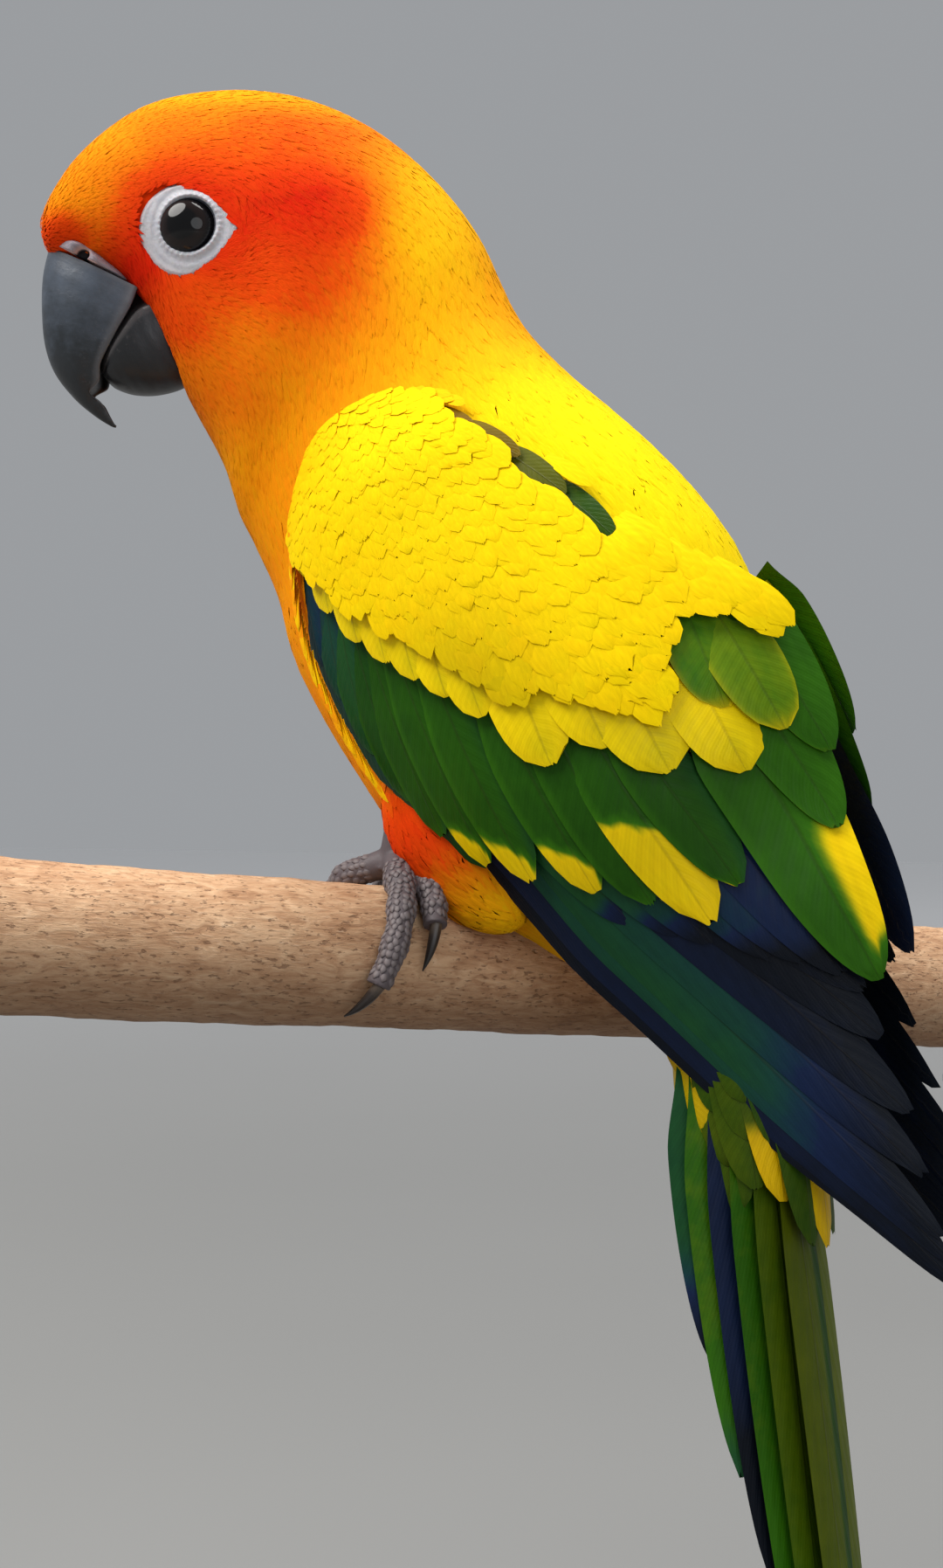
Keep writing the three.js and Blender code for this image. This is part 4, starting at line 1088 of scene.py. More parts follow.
def inside(tree, points, margin):
    """Which points of the bird's frame lie inside the tree's nodes, or nearer to them than `margin` mm."""
    result = np.zeros(len(points), bool)
    for k, point in enumerate(to_model(points)):
        place, normal, _, apart = tree.find_nearest(Vector(point), INSIDE_REACH * MM)
        if place is None:
            continue
        within = (Vector(point) - place).dot(normal) < 0
        result[k] = within or apart < margin * MM
    return result


bill_tree = node_tree("cere", "bill_upper", "bill_lower")
perch_tree = node_tree("perch", "foot_left", "foot_right")
branch_only_tree = node_tree("perch")

# Edge of the bare skin round the eye: degrees from straight back, turning upwards, and its reach.
BARE_EDGE = [
    [12, 6.75], [27, 5.1], [57, 4.8], [98, 5.05], [132, 5.65], [156, 6.3], [182, 6.7], [210, 6.5],
    [239, 6.5], [267, 6.3], [298, 5.5], [328, 5.5], [357, 6.35],
]


def bare_reach(degrees):
    """How far the bare skin reaches from the eye's middle in each direction."""
    before = [[degree - 360, reach] for degree, reach in BARE_EDGE]
    after = [[degree + 360, reach] for degree, reach in BARE_EDGE]
    return through(before + BARE_EDGE + after, np.asarray(degrees, float) % 360)[..., 0]


def near_eye(points, grow):
    """Which points of the head lie on the bare skin round an eye, swollen by `grow` mm."""
    head = bird_to_head(points)
    back = EYE["x"] - head[..., 0]
    up = head[..., 2] - EYE["z"]
    edge = bare_reach(np.degrees(np.arctan2(up, back)))
    return (np.hypot(back, up) < edge + grow) & (np.abs(head[..., 1]) > 6.0)


def scatter(form, sizes, rng, first, last, crowd=0.78):
    """Rows of roots over a closed form, staggered and a little uneven. Gives rows and columns."""
    found = []
    reach = first
    while reach < last:
        pitch = float(through(sizes, reach)[0])
        row = reach / form.reach * (form.rows - 1)
        widths = form.across_mm[int(row)]
        passed = np.concatenate([[0.0], np.cumsum(widths)])
        count = max(int(passed[-1] / pitch), 3)
        spots = (np.arange(count) + rng.uniform() + rng.uniform(-0.22, 0.22, count)) / count * passed[-1]
        columns = np.interp(spots % passed[-1], passed, np.arange(form.columns + 1))
        rows = row + rng.uniform(-0.35, 0.35, count) * pitch * crowd / ROW_STEP
        found.append(np.stack([np.clip(rows, 0, form.rows - 2), columns], -1))
        reach += pitch * crowd
    return np.concatenate(found)


def under_wing(points, deep):
    """Which points of the body lie well under a folded wing, `deep` mm below its face."""
    p, q = body_pq(points)
    row = through(WING, np.clip(p, -15, 125))
    covered = (p > -6) & (p < 70) & (q > row[:, 0] + 1.2) & (q < row[:, 2] - 3.0)
    face_y = wing_surface(p, q, np.zeros_like(p))[:, 1]
    return covered & (np.abs(points[:, 1]) < face_y - deep)


EYE_FLOW = 7.2                   # size of the round that the feathers part about


def flow_round_eye(points, side_sign):
    """How far feathers turn aside so as to part round the eye, in radians."""
    head = bird_to_head(points)
    dx = (EYE["x"] - head[..., 0]) / EYE_FLOW
    dz = (head[..., 2] - EYE["z"]) / EYE_FLOW
    far = np.maximum(dx ** 2 + dz ** 2, 1.0)
    along = 1 - (dx ** 2 - dz ** 2) / far ** 2
    across = -2 * dx * dz / far ** 2
    return np.arctan2(across, np.maximum(along, 0.15)) * side_sign


TUFT_FINE = Shape(4, 3, 0.42, 0.55, 1.6, 0.20)
TUFT = Shape(5, 5, 0.48, 0.55, 1.9, 0.12)
TUFT_LIE = {"arch": 0.08, "flat": 2.2, "unruly": 0.06, "rise": (-0.06, 0.05)}
LOOSE = Shape(7, 5, 0.40, 0.45, 1.5, 0.22)
LOOSE_LIE = {"arch": 0.10, "flat": 1.8, "unruly": 0.10, "rise": (-0.1, 0.15)}


OWN_SHADE = 0.45                 # how much the marking changes along one small feather


def coat_piece(name, form, roots, sizes, shape, rng, heading=0.0, lie=TUFT_LIE):
    """One piece of the coat: feathers on a closed form, each sized for its place."""
    count = len(roots)
    _, length, half, depth = np.moveaxis(sizes, -1, 0)
    turn = heading + rng.normal(0, lie["unruly"], count)
    own_length = length * rng.uniform(0.86, 1.14, count)
    own_half = half * rng.uniform(0.88, 1.12, count)
    tip = rng.uniform(*lie["rise"], count) * depth
    points, _, _ = lay(form, shape, roots, turn, own_length, own_half, rng, (-depth, tip), lie["arch"],
                       flat=lie["flat"])
    marks = body_marks(points)
    marks = blend(marks.mean(axis=1, keepdims=True), marks, OWN_SHADE)
    centre = beside(roots[:, 1] / form.columns, roots[:, 0] / form.rows) * 0.98 + 0.01
    return feather_piece(name, shape, points, marks, patch_map(shape, centre), plumage, rng)


# Wings: tiers of long feathers over the pad, from the innermost layer outwards, then small coverts.

FLIGHT = Shape(26, 9, 0.30, 0.55, 2.1, 0.012)
COVERT = Shape(14, 9, 0.42, 0.60, 2.2, 0.012)
MEDIAN = Shape(12, 11, 0.45, 0.60, 2.2, 0.012)
SHORT_COVERT = Shape(7, 7, 0.48, 0.60, 2.3, 0.035)


def flight_marks(u, v, place):
    """Primaries: blue-black, the middle ones with a green gloss on their outer webs."""
    gloss = np.exp(-((place - 0.42) / 0.26) ** 4) * smooth(1.0, 0.55, u) * smooth(0.9, 0.3, v)
    return [0.1, 0.94, 1.0 - 0.62 * gloss - 0.06 * smooth(0.3, -0.9, v)]


def secondary_marks(u, v, place):
    """Secondaries: dark green that turns blue-black on the inner web and at the tip."""
    return [0.1, 0.84, 0.30 + 0.30 * place + 0.5 * smooth(0.78, 0.97, u) + 0.35 * smooth(0.0, 0.8, v)]


def hand_covert_marks(u, v, place):
    """Coverts of the hand: smooth blue-green."""
    return [0.1, 0.95, 0.48 - 0.16 * place + 0.10 * v]


def greater_marks(u, v, place):
    """Greater coverts: deep green, the tip yellow on the outer web by as much as `place` says.

    Where `place` is below zero they are bluer by as much.
    """
    blue = np.clip(-place, 0, 1)
    place = np.clip(place, 0, 1)
    start = 1.04 - 0.32 * place - 0.22 * smooth(0.93, 1.0, place) + 0.10 * (v + 1) ** 1.3
    tip = smooth(-0.035, 0.035, u - start)
    rim = smooth(-0.72, -0.98, v) + smooth(0.95, 1.0, u)
    green = blend(0.95 - 0.18 * np.clip(rim, 0, 1) - 0.08 * place, 0.14, tip)
    # The inner web darker: partly its own colour, partly painted shadow lines between the coverts.
    dark = (0.16 * smooth(0.1, 0.9, v) + 0.10 + 0.36 * blue) * (1 - tip) - 0.28 * tip
    return [0.04, green, dark]


def tertial_marks(u, v, place):
    """Tertials: leaf green. Where `place` is above zero a yellow stripe runs along the edge by the back.

    Where it is below zero they are dark instead: painted shade for the far wing's tertials.
    """
    stripe = smooth(0.0, 0.5, v) * smooth(0.44, 0.60, u) * smooth(1.02, 0.90, u + 0.06 * v)
    stripe = stripe * np.clip(place, 0, 1)
    rim = smooth(-0.75, -0.98, v) + smooth(0.96, 1.0, u)
    green = 0.76 - 0.14 * np.clip(rim, 0, 1) - 0.60 * stripe + 0.12 * smooth(0.5, 0.1, u)
    return [0.06, green, np.clip(-place, 0, 1)]


def scapular_marks(u, v, place):
    """The green feathers between the back and the wing, edged with yellow at their tips."""
    return [0.06, 0.54 - 0.16 * smooth(0.86, 1.0, u) - 0.10 * smooth(0.7, 1.0, np.abs(v)), 0.0]


def slot_marks(u, v, place):
    """Feathers deep in the slot between the back and the wing: brown, then green as `place` says."""
    # The third marking darkens them strongly: painted shade of the slot.
    return [0.40 - 0.36 * place, 0.34 + 0.20 * place, -0.86 + 0.14 * place]


def median_marks(u, v, place):
    """Median coverts: yellow, with an olive middle near the tip."""
    middle = np.exp(-(v / 0.5) ** 2) * np.exp(-((u - 0.86) / 0.14) ** 2)
    return [0.0, 0.20 + 0.10 * middle, -0.20]


# Each tier lies under the ones after it. `depth` is how far its tips lie under the wing's face and
# `lift` how far its outer edge is turned up. It has curves of roots and tips, whose rows are place, p, q, or
# rows of feathers, each with its tip's p and q, its length, its heading in degrees, its width and marking.
WING_TIERS = {
    "primaries": dict(
        count=8, width=(7.8, 9.4), depth=(3.9, 3.5), shape=FLIGHT, lift=0.10, arch=0.08, marks=flight_marks,
        roots=[[0, 41, -16.6], [0.5, 45, -4.5], [1, 50, 6]],
        tips=[[0, 124.5, -0.6], [0.3, 120, 2.4], [0.6, 108, 7.2], [1, 87, 15]]),
    "secondaries": dict(
        count=6, width=(8.6, 9.0), depth=(3.3, 2.6), shape=FLIGHT, lift=0.10, arch=0.08,
        marks=secondary_marks,
        roots=[[0, 42, -4], [1, 50, 15]],
        tips=[[0, 66, -2.5], [0.5, 76, 6], [1, 86, 14]]),
    "primary_coverts": dict(
        count=7, width=(6.0, 7.4), depth=(1.7, 2.7), shape=COVERT, lift=0.06, arch=0.08,
        marks=hand_covert_marks,
        roots=[[0, -10, -6.5], [0.5, 2, -12.5], [1, 22, -15.0]],
        tips=[[0, 12, -17.4], [0.5, 31, -18.8], [1, 49, -15.2]]),
    "greater_coverts": dict(
        depth=(1.9, 1.8), shape=COVERT, lift=0.12, arch=0.08, marks=greater_marks, rows=[
            [5.5, -13.6, 13, -37, 4.8, -1], [12, -16.0, 16, -33, 5.4, -0.9],
            [18.5, -17.4, 20, -29, 6.0, -0.75], [26.5, -18.3, 24, -25, 6.4, -0.5],
            [34.5, -18.0, 27, -21, 6.8, -0.2],
            [41.5, -16.8, 30, -18, 7.4, 0.12], [48.4, -13.4, 32, -16, 8.2, 0.74],
            [54.0, -9.4, 32, -14, 8.8, 0.84], [60.4, -3.0, 32, -12, 9.4, 0.92],
            [65.6, 1.6, 32, -11, 9.6, 0.12], [71.4, 5.8, 33, -10, 10.4, 1.0],
            [69.6, 11.4, 29, -8, 8.6, 0.22]]),
    "tertials": dict(
        depth=(1.7, 1.1), shape=FLIGHT, lift=0.08, arch=0.12, marks=tertial_marks,
        # The far wing's tertials are darkened as painted shade, most of all the big one.
        far=(-0.8, -0.05, 0.0), rows=[
            [87.9, 16.4, 42, -11, 12.0, 1], [70.0, 24.0, 31, -10, 9.0, 0.1],
            [61.8, 28.8, 26, -11, 8.0, 0.1]]),
    "median_coverts": dict(
        depth=(1.1, 0.9), shape=MEDIAN, lift=0.06, arch=0.07, marks=median_marks, rows=[
            [1.9, -10.9, 11, -34, 6.2, 0], [9.0, -10.2, 12, -30, 6.4, 0], [15.4, -8.6, 14, -26, 6.8, 0],
            [20.6, -6.6, 14, -24, 6.8, 0], [25.2, -4.3, 15, -22, 7.0, 0], [29.8, -2.0, 15, -20, 7.2, 0],
            [34.8, 0.4, 16, -18, 7.8, 0], [45.2, 3.8, 19, -16, 10.4, 0], [47.6, 10.6, 18, -12, 9.4, 0],
            [54.4, 14.3, 20, -11, 11.0, 0], [59.0, 20.6, 20, -14, 9.4, 0]]),
    "scapulars": dict(
        depth=(0.9, 0.4), shape=MEDIAN, lift=0.05, arch=0.08, marks=scapular_marks, rows=[
            [51.4, 23.6, 18, -17, 7.4, 0], [57.0, 26.6, 20, -12, 7.6, 0.5]]),
    "slot": dict(
        depth=(0.9, 0.5), shape=COVERT, lift=0.0, arch=0.05, marks=slot_marks, rows=[
            [3.0, 20.6, 12, 30, 3.2, 0.0], [10.0, 22.8, 12, 20, 3.4, 0.15], [18.0, 24.6, 13, 13, 3.6, 0.5],
            [26.4, 26.0, 14, 9, 3.8, 1.0]]),
}
PAD_TOP = 3.0                    # depth of the pad under the wing's face, where the long roots end
WING_FLAT = 2.2                  # how soon the wing's feathers rise from their roots


def tier_places(tier, rng):
    """Roots, headings, lengths, half widths and places of a tier's feathers."""
    if "rows" in tier:
        rows = np.array(tier["rows"], float)
        tip = rows[:, :2]
        length = rows[:, 2] * rng.uniform(0.99, 1.01, len(rows))
        heading = rows[:, 3] * DEG + rng.normal(0, 0.012, len(rows))
        root = tip - length[:, None] * np.stack([np.cos(heading), np.sin(heading)], -1)
        return root, heading, length, rows[:, 4] / 2, rows[:, 5]
    count = tier["count"]
    place = np.linspace(0, 1, count)
    uneven = np.clip(place + rng.normal(0, 0.15 / count, count), 0, 1)
    root = through(tier["roots"], uneven)
    run = through(tier["tips"], uneven) + rng.normal(0, 0.35, (count, 2)) - root
    half = blend(*tier["width"], place) / 2 * rng.uniform(0.95, 1.05, count)
    return root, np.arctan2(run[:, 1], run[:, 0]), np.hypot(run[:, 0], run[:, 1]), half, place


def tier_feathers(tier, far, rng):
    """Points of a tier's feathers on the left wing, with their own numbers and markings."""
    root, heading, length, half, place = tier_places(tier, rng)
    count = len(root)
    depth = np.linspace(*tier["depth"], count)
    shape = tier["shape"]
    rise = (-np.maximum(depth, PAD_TOP), -depth)
    points, u, v = lay(WingFace(), shape, root, heading, length, half, rng, rise, tier["arch"],
                       -tier["lift"], WING_FLAT)
    if far and "far" in tier:
        place = np.array(tier["far"])
    u, v, spot = np.broadcast_arrays(u, v, place[:, None])
    return points, vane_marks(shape, count, rng), beside(*tier["marks"](u, v, spot))


LESSER_SIZES = [[-17, 3.6, 0.8], [-8, 4.8, 1.1], [10, 6.4, 1.45], [30, 8.0, 1.8], [60, 8.4, 1.9]]
# The slot between the back and the wing, where feathers in painted shade show: p, q of its upper edge.
SLOT_LINE = [[-14, 10.0], [-6.9, 16.0], [3.6, 22.3], [15.1, 25.4], [25.3, 27.3], [40, 28.6]]
SLOT = {"start": -1.0, "end": 26.0, "width": 1.7, "narrow": 8.0, "lower": 0.9, "upper": 0.5}
# How far back the small yellow coverts' tips reach: q, p.
LESSER_END = [
    [-17, -8], [-14, -3], [-11, 1], [-9, 8], [-6.5, 13.5], [-3, 20], [0, 27], [3, 34], [8, 40], [14, 46],
    [19.5, 50], [22.5, 43.5], [25.5, 40], [29, 42], [33, 47], [37, 52],
]
FAR_END = {"p": 22.0, "q": 20.0}   # the right wing's small coverts end here, where the green shows
RIM_FEATHER = {"step": 0.8, "length": 6.0, "half": 0.55, "end": 28.0}


def lesser_feathers(rng):
    """Roots, headings, lengths and half widths of the small coverts, and their markings."""
    found = []
    line = 0
    p = -17.0
    while p < 50.0:
        length, half = through(LESSER_SIZES, p)
        lead = through(WING, p)
        step = half * 0.95
        q = lead[0] - 0.6 + step * (line % 2) / 2
        while q < lead[2] + 1.2:
            found.append([p + rng.uniform(-0.3, 0.3) * step, q + rng.uniform(-0.14, 0.14) * step])
            q += step
        p += length * 0.19
        line += 1
    roots = np.array(found)
    count = len(roots)
    length, half = np.moveaxis(through(LESSER_SIZES, roots[:, 0]), -1, 0)
    length = length * rng.uniform(0.86, 1.14, count)
    half = half * rng.uniform(0.9, 1.1, count)
    back = smooth(4.0, 20.0, roots[:, 1])
    fan = blend(-0.34, -0.02, back) - 0.30 * smooth(2.0, -14.0, roots[:, 0])
    slot, ahead = (through(SLOT_LINE, roots[:, 0] + step)[:, 0] for step in (0.0, 4.0))
    by_slot = smooth(-9.0, -1.0, roots[:, 1] - slot) * smooth(38.0, 24.0, roots[:, 0])
    heading = blend(fan, np.arctan2(ahead - slot, 4.0), by_slot) + rng.normal(0, 0.07, count)
    tip = roots + length[:, None] * np.stack([np.cos(heading), np.sin(heading)], -1)
    end = through(LESSER_END, np.clip(tip[:, 1], -17, 37))[:, 0]
    keep = tip[:, 0] < end + rng.uniform(-1.0, 1.0, count)
    for share in (0.35, 0.7, 1.0):
        spot = blend(roots, tip, share)
        off = spot[:, 1] - through(SLOT_LINE, spot[:, 0])[:, 0]
        gap = SLOT["width"] * smooth(-4.0, 5.0, spot[:, 0])
        gap = gap * (1 - 0.5 * np.exp(-((spot[:, 0] - SLOT["narrow"]) / 3.0) ** 2))
        over = (off > -gap - half * SLOT["lower"]) & (off < half * SLOT["upper"])
        keep &= ~(over & (spot[:, 0] > SLOT["start"]) & (spot[:, 0] < SLOT["end"]))
    roots, heading, length, half = (part[keep] for part in (roots, heading, length, half))
    marks = np.array(wing_marks(roots[:, 0] + length * 0.6, roots[:, 1]))
    at_neck = smooth(-1.0, 1.0, roots[:, 1] - through(SLOT_LINE, roots[:, 0])[:, 0])
    marks[:, 0] += 0.2 * at_neck * smooth(2.0, -4.0, roots[:, 0])
    return roots, heading, length, half, marks


def rim_feathers(rng):
    """A thin line of yellow and orange feathers along the wing's leading edge."""
    p = np.arange(-15.0, RIM_FEATHER["end"], RIM_FEATHER["step"])
    count = len(p)
    lead = through(WING, p)[:, 0]
    ahead = through(WING, p + RIM_FEATHER["length"])[:, 0]
    heading = np.arctan2(ahead - lead, RIM_FEATHER["length"]) + rng.normal(0, 0.015, count)
    roots = np.stack([p, lead + rng.uniform(-0.25, 0.15, count)], -1)
    length = RIM_FEATHER["length"] * rng.uniform(0.85, 1.1, count)
    warm = rng.uniform(0.12, 0.48, count)
    return roots, heading, length, np.full(count, RIM_FEATHER["half"]), beside(warm, 0.05, 0.0)


def build_wing(side, rng):
    """One folded wing: flight feathers and large coverts in one piece, small coverts in another."""
    turned = side == "right"
    total = sum(tier.get("count", len(tier.get("rows", []))) for tier in WING_TIERS.values())
    laid = 0
    start = 0
    arrays = []
    sheets = []
    for tier in WING_TIERS.values():
        shape = tier["shape"]
        points, vane, marks = tier_feathers(tier, turned, rng)
        if turned:
            points = to_right_wing(points)
        baked = cell_map(shape, total)[laid:laid + len(points)]
        arrays.append([part.reshape(-1, part.shape[-1]) for part in (points, marks, vane, baked)])
        sheets.append([face + start for face in shape.faces(len(points), turned)])
        start += len(arrays[-1][0])
        laid += len(points)
    points, marks, vane, baked = (np.concatenate(part) for part in zip(*arrays))
    faces = [part for kind in zip(*sheets) for part in group_by_corners(kind)]
    flight = make_piece(f"flight_feathers_{side}", to_model(points), faces, quills, marks, vane, baked)
    small = [np.concatenate(pair) for pair in zip(lesser_feathers(rng), rim_feathers(rng))]
    if turned:
        hidden = (small[0][:, 0] > FAR_END["p"]) & (small[0][:, 1] > FAR_END["q"])
        small = [part[~hidden] for part in small]
    return flight, small_coverts(side, small, rng)


def small_coverts(side, feathers, rng):
    """The small coverts and the rim's feathers, laid over the long ones."""
    turned = side == "right"
    roots, heading, length, half, marks = feathers
    above = smooth(-0.3, 0.5, roots[:, 1] - through(SLOT_LINE, roots[:, 0])[:, 0])
    above = above * smooth(34.0, 26.0, roots[:, 0])
    tip = rng.uniform(-0.05, 0.05, len(roots)) - 0.35 * above
    points, _, _ = lay(WingFace(), SHORT_COVERT, roots, heading, length, half * (1 - 0.3 * above), rng,
                       (-0.95 - 0.3 * above, tip), 0.04, -0.02, WING_FLAT)
    marks = np.repeat(marks[:, None], points.shape[1], 1)
    if turned:
        points = to_right_wing(points)
    centre = beside((roots[:, 1] + 22) / 66, (roots[:, 0] + 20) / 80) * 0.96 + 0.02
    baked = patch_map(SHORT_COVERT, centre)
    return feather_piece(f"small_coverts_{side}", SHORT_COVERT, points, marks, baked, plumage, rng, turned)


def group_by_corners(sheets):
    """Joins arrays of faces that have the same count of corners."""
    sizes = sorted({sheet.shape[1] for sheet in sheets})
    return [np.concatenate([sheet for sheet in sheets if sheet.shape[1] == size]) for size in sizes]


# Tail: for each feather from the middle outwards, its length, left and forward offsets at root and
# tip, and how far its face is turned.
TAIL_ROWS = [
    [119, 1.6, 3.4, 2.4, 0.4, 6],
    [106, 3.6, 4.4, 4.6, 2.4, 16],
    [93, 5.0, 6.0, 6.4, 4.4, 26],
    [80, 5.8, 7.9, 8.0, 6.4, 36],
    [67, 6.0, 10.0, 9.4, 8.4, 46],
    [54, 5.4, 12.0, 10.4, 10.2, 55],
]
TAIL_FEATHER = {"width": 8.6, "start": 15.0, "lift": 0.06, "middle_lift": 0.9}
RECTRIX = Shape(30, 9, 0.30, 0.60, 1.9, 0.010)


class TailFeather:
    """The flat but gently bent sheet that one tail feather lies in."""

    def __init__(self, row, side):
        length, root_left, root_forward, tip_left, tip_forward, lean = row
        self.length = length
        self.offsets = (side * root_left, root_forward, side * tip_left, tip_forward)
        self.lift = TAIL_FEATHER["middle_lift"] if side > 0 and lean < 10 else 0.0
        angle = lean * DEG * side
        self.normal = tail_back * math.cos(angle) + tail_left * math.sin(angle)
        self.across = np.cross(self.normal, tail_down)

    def place(self, root, heading, x, y, height):
        t = np.sqrt(np.clip(x / (self.length - TAIL_FEATHER["start"]), 0, None))
        left0, forward0, left1, forward1 = self.offsets
        middle = tail_point(TAIL_FEATHER["start"] + x, blend(left0, left1, t),
                            blend(forward0, forward1, t) - self.lift * t)
        return middle + self.across * y[..., None] + self.normal * height[..., None]


# Warmth, greenness and darkness of each tail feather, from the middle outwards.
# Darkness below zero dulls a feather: partly its own olive-brown, partly painted shade of the tail.
TAIL_LOOKS = [
    [0.02, 0.46, -0.74], [0.10, 0.50, -0.66], [0.10, 0.56, -0.42], [0.10, 0.90, 0.70], [0.10, 0.62, -0.34],
    [0.10, 0.92, 0.30],
]


def tail_marks(u, v, place, side):
    """Tail feathers, each in its listed tone, with blue-black tips and a dark line along the inner web."""
    warm, green, dark = TAIL_LOOKS[int(round(place * (len(TAIL_LOOKS) - 1)))]
    outer = smooth(0.0, 0.4, place)
    tip = smooth(0.55, 1.0, u)
    edge = smooth(0.45, 0.95, v * side)
    dark = dark + (0.10 + 0.6 * outer) * tip + 0.5 * edge * outer
    return [warm, green + 0.25 * edge + 0.1 * tip, dark]


# Coverts of the tail's root, on its middle line and in pairs: down, left and forward offsets of root and
# tip, face lean, width.
TAIL_COVERT_OVER = [2, 0, -0.9, 40, 0, -1.4, 0, 8]
TAIL_COVERT_UNDER = [13, 0, 18.4, 48, 0, 13.0, 180, 9]
TAIL_COVERT_PAIRS = [
    [3, 3.4, -0.2, 38, 3.2, -0.8, 14, 8],
    [4, 6.2, 2.0, 35, 5.6, 1.2, 32, 8],
    [8, 8.4, 4.8, 33, 7.6, 3.8, 52, 8],
    [10, 9.0, 8.0, 34, 8.0, 6.8, 78, 8],
    [12, 8.6, 11.5, 38, 7.4, 9.6, 105, 8],
    [12, 6.6, 15.0, 42, 5.4, 11.6, 132, 8],
    [12, 3.4, 17.6, 45, 2.8, 12.6, 158, 8],
]
TO_OTHER_SIDE = (1, -1, 1, 1, -1, 1, -1, 1)
TAIL_COVERTS = [TAIL_COVERT_OVER]
for pair in TAIL_COVERT_PAIRS:
    TAIL_COVERTS += [pair, [value * sign for value, sign in zip(pair, TO_OTHER_SIDE)]]
TAIL_COVERTS.append(TAIL_COVERT_UNDER)
YELLOW_COVERTS = (0, 3)          # those whose tips are yellow
COVERT_LAYERS = (1.0, 0.72, 0.48)   # length of the coverts in each layer, from the lowest up


class CovertSheet:
    """The straight sheet of one covert of the tail."""

    def __init__(self, row):
        down0, left0, forward0, down1, left1, forward1, lean, _ = row
        self.start = tail_point(down0, left0, forward0)
        run = tail_point(down1, left1, forward1) - self.start
        self.length = float(np.linalg.norm(run))
        self.along = unit(run)
        angle = lean * DEG
        normal = tail_back * math.cos(angle) + tail_left * math.sin(angle)
        self.normal = unit(normal - self.along * float(np.dot(normal, self.along)))
        self.across = np.cross(self.normal, self.along)

    def place(self, root, heading, x, y, height):
        bent = height - 0.035 * y ** 2
        return (self.start + self.along * x[..., None] + self.across * y[..., None]
                + self.normal * bent[..., None])


def build_tail(rng):
    """The tail's twelve feathers, and the coverts over and under their roots."""
    points = []
    marks = []
    origin = np.zeros((1, 2))
    straight = np.zeros(1)
    for number, row in enumerate(TAIL_ROWS):
        for side in (1, -1):
            sheet = TailFeather(row, side)
            half = np.full(1, TAIL_FEATHER["width"] / 2 * rng.uniform(0.97, 1.03))
            length = np.full(1, row[0] - TAIL_FEATHER["start"] + rng.uniform(-1.0, 0.0))
            laid, u, v = lay(sheet, RECTRIX, origin, straight, length, half, rng, (0.0, 0.0), 0.10,
                             -TAIL_FEATHER["lift"] * side)
            points.append(laid)
            marks.append(beside(*tail_marks(u, v, number / (len(TAIL_ROWS) - 1), side)))
    tail = feather_piece("tail_feathers", RECTRIX, np.concatenate(points), np.concatenate(marks),
                         cell_map(RECTRIX, len(points)), quills, rng)
    points = []
    marks = []
    for layer in COVERT_LAYERS:
        for number, row in enumerate(TAIL_COVERTS):
            sheet = CovertSheet(row)
            half = np.full(1, row[7] / 2 * (0.55 + 0.45 * layer))
            length = np.full(1, sheet.length * layer * rng.uniform(0.92, 1.04))
            lift = 1.2 * (1 - layer)
            laid, u, v = lay(sheet, COVERT, origin, straight, length, half, rng, (-1.2, lift), 0.12)
            above = 1.0 if abs(row[6]) < 90 else 0.0
            points.append(laid)
            tip = smooth(0.62, 0.76, u) * (layer > 0.9) * (number in YELLOW_COVERTS)
            # Coverts dulled, those over the tail most: partly their own olive, partly painted shade of the
            # tail.
            marks.append(beside(blend(0.20, 0.14, above), blend(0.34, 0.50, above) - 0.40 * tip,
                                blend(-0.35, -0.75, above) + 0.36 * tip))
    coverts = feather_piece("tail_coverts", COVERT, np.concatenate(points), np.concatenate(marks),
                            cell_map(COVERT, len(points)), quills, rng)
    return tail, coverts


def densify(rows, count):
    """`count` sections, evenly through a list of a few."""
    rows = np.asarray(rows, float)
    keyed = np.column_stack([np.arange(len(rows)), rows])
    return through(keyed, np.linspace(0, len(rows) - 1, count))


# Finishes of the horn, the bare skin, the eye, the feet and the stand.

def horn_finish(name, base, light, edge):
    """Bill horn: slate, paler towards its root and along its cutting edge, with faint growth lines."""
    finish = Finish(name, 0.36, Specular_IOR_Level=0.45, Coat_Roughness=0.35)
    along, inner, mouth_shade = finish.attribute("marking")
    place = finish.place()
    cloud = finish.noise(place, 420.0, 5.0, 0.6)
    streak = finish.noise(finish.joined(along * 34.0, inner * 5.0, 0.5), 1.0, 3.0, 0.6)
    grown = (along * 58.0 + cloud * 5.0).sine()
    tone = finish.ramp(along + (cloud - 0.5) * 0.5 + (streak - 0.5) * 0.25,
                       [(0.0, light), (0.42, base), (1.0, srgb(22, 22, 24))])
    scuff = finish.noise(place, 1300.0, 3.0, 0.7).step(0.56, 0.72) * inner.step(0.45, 0.95)
    rim = inner.step(0.86, 0.975)
    worn = finish.mix(tone, edge, (scuff * 0.25 + rim * 0.55 + (1.0 - along.step(0.0, 0.035)) * 0.5))
    # Painted shade: the closing face between the cutting edges is near black, for the mouth's gap.
    worn = finish.mix(worn, srgb(16, 12, 13), mouth_shade)
    finish.bump(grown * 0.25 + cloud * 0.6 + streak * 0.5, 0.07, 0.8)
    return finish.wear(Base_Color=worn, Roughness=0.30 + cloud * 0.16 + scuff * 0.25)


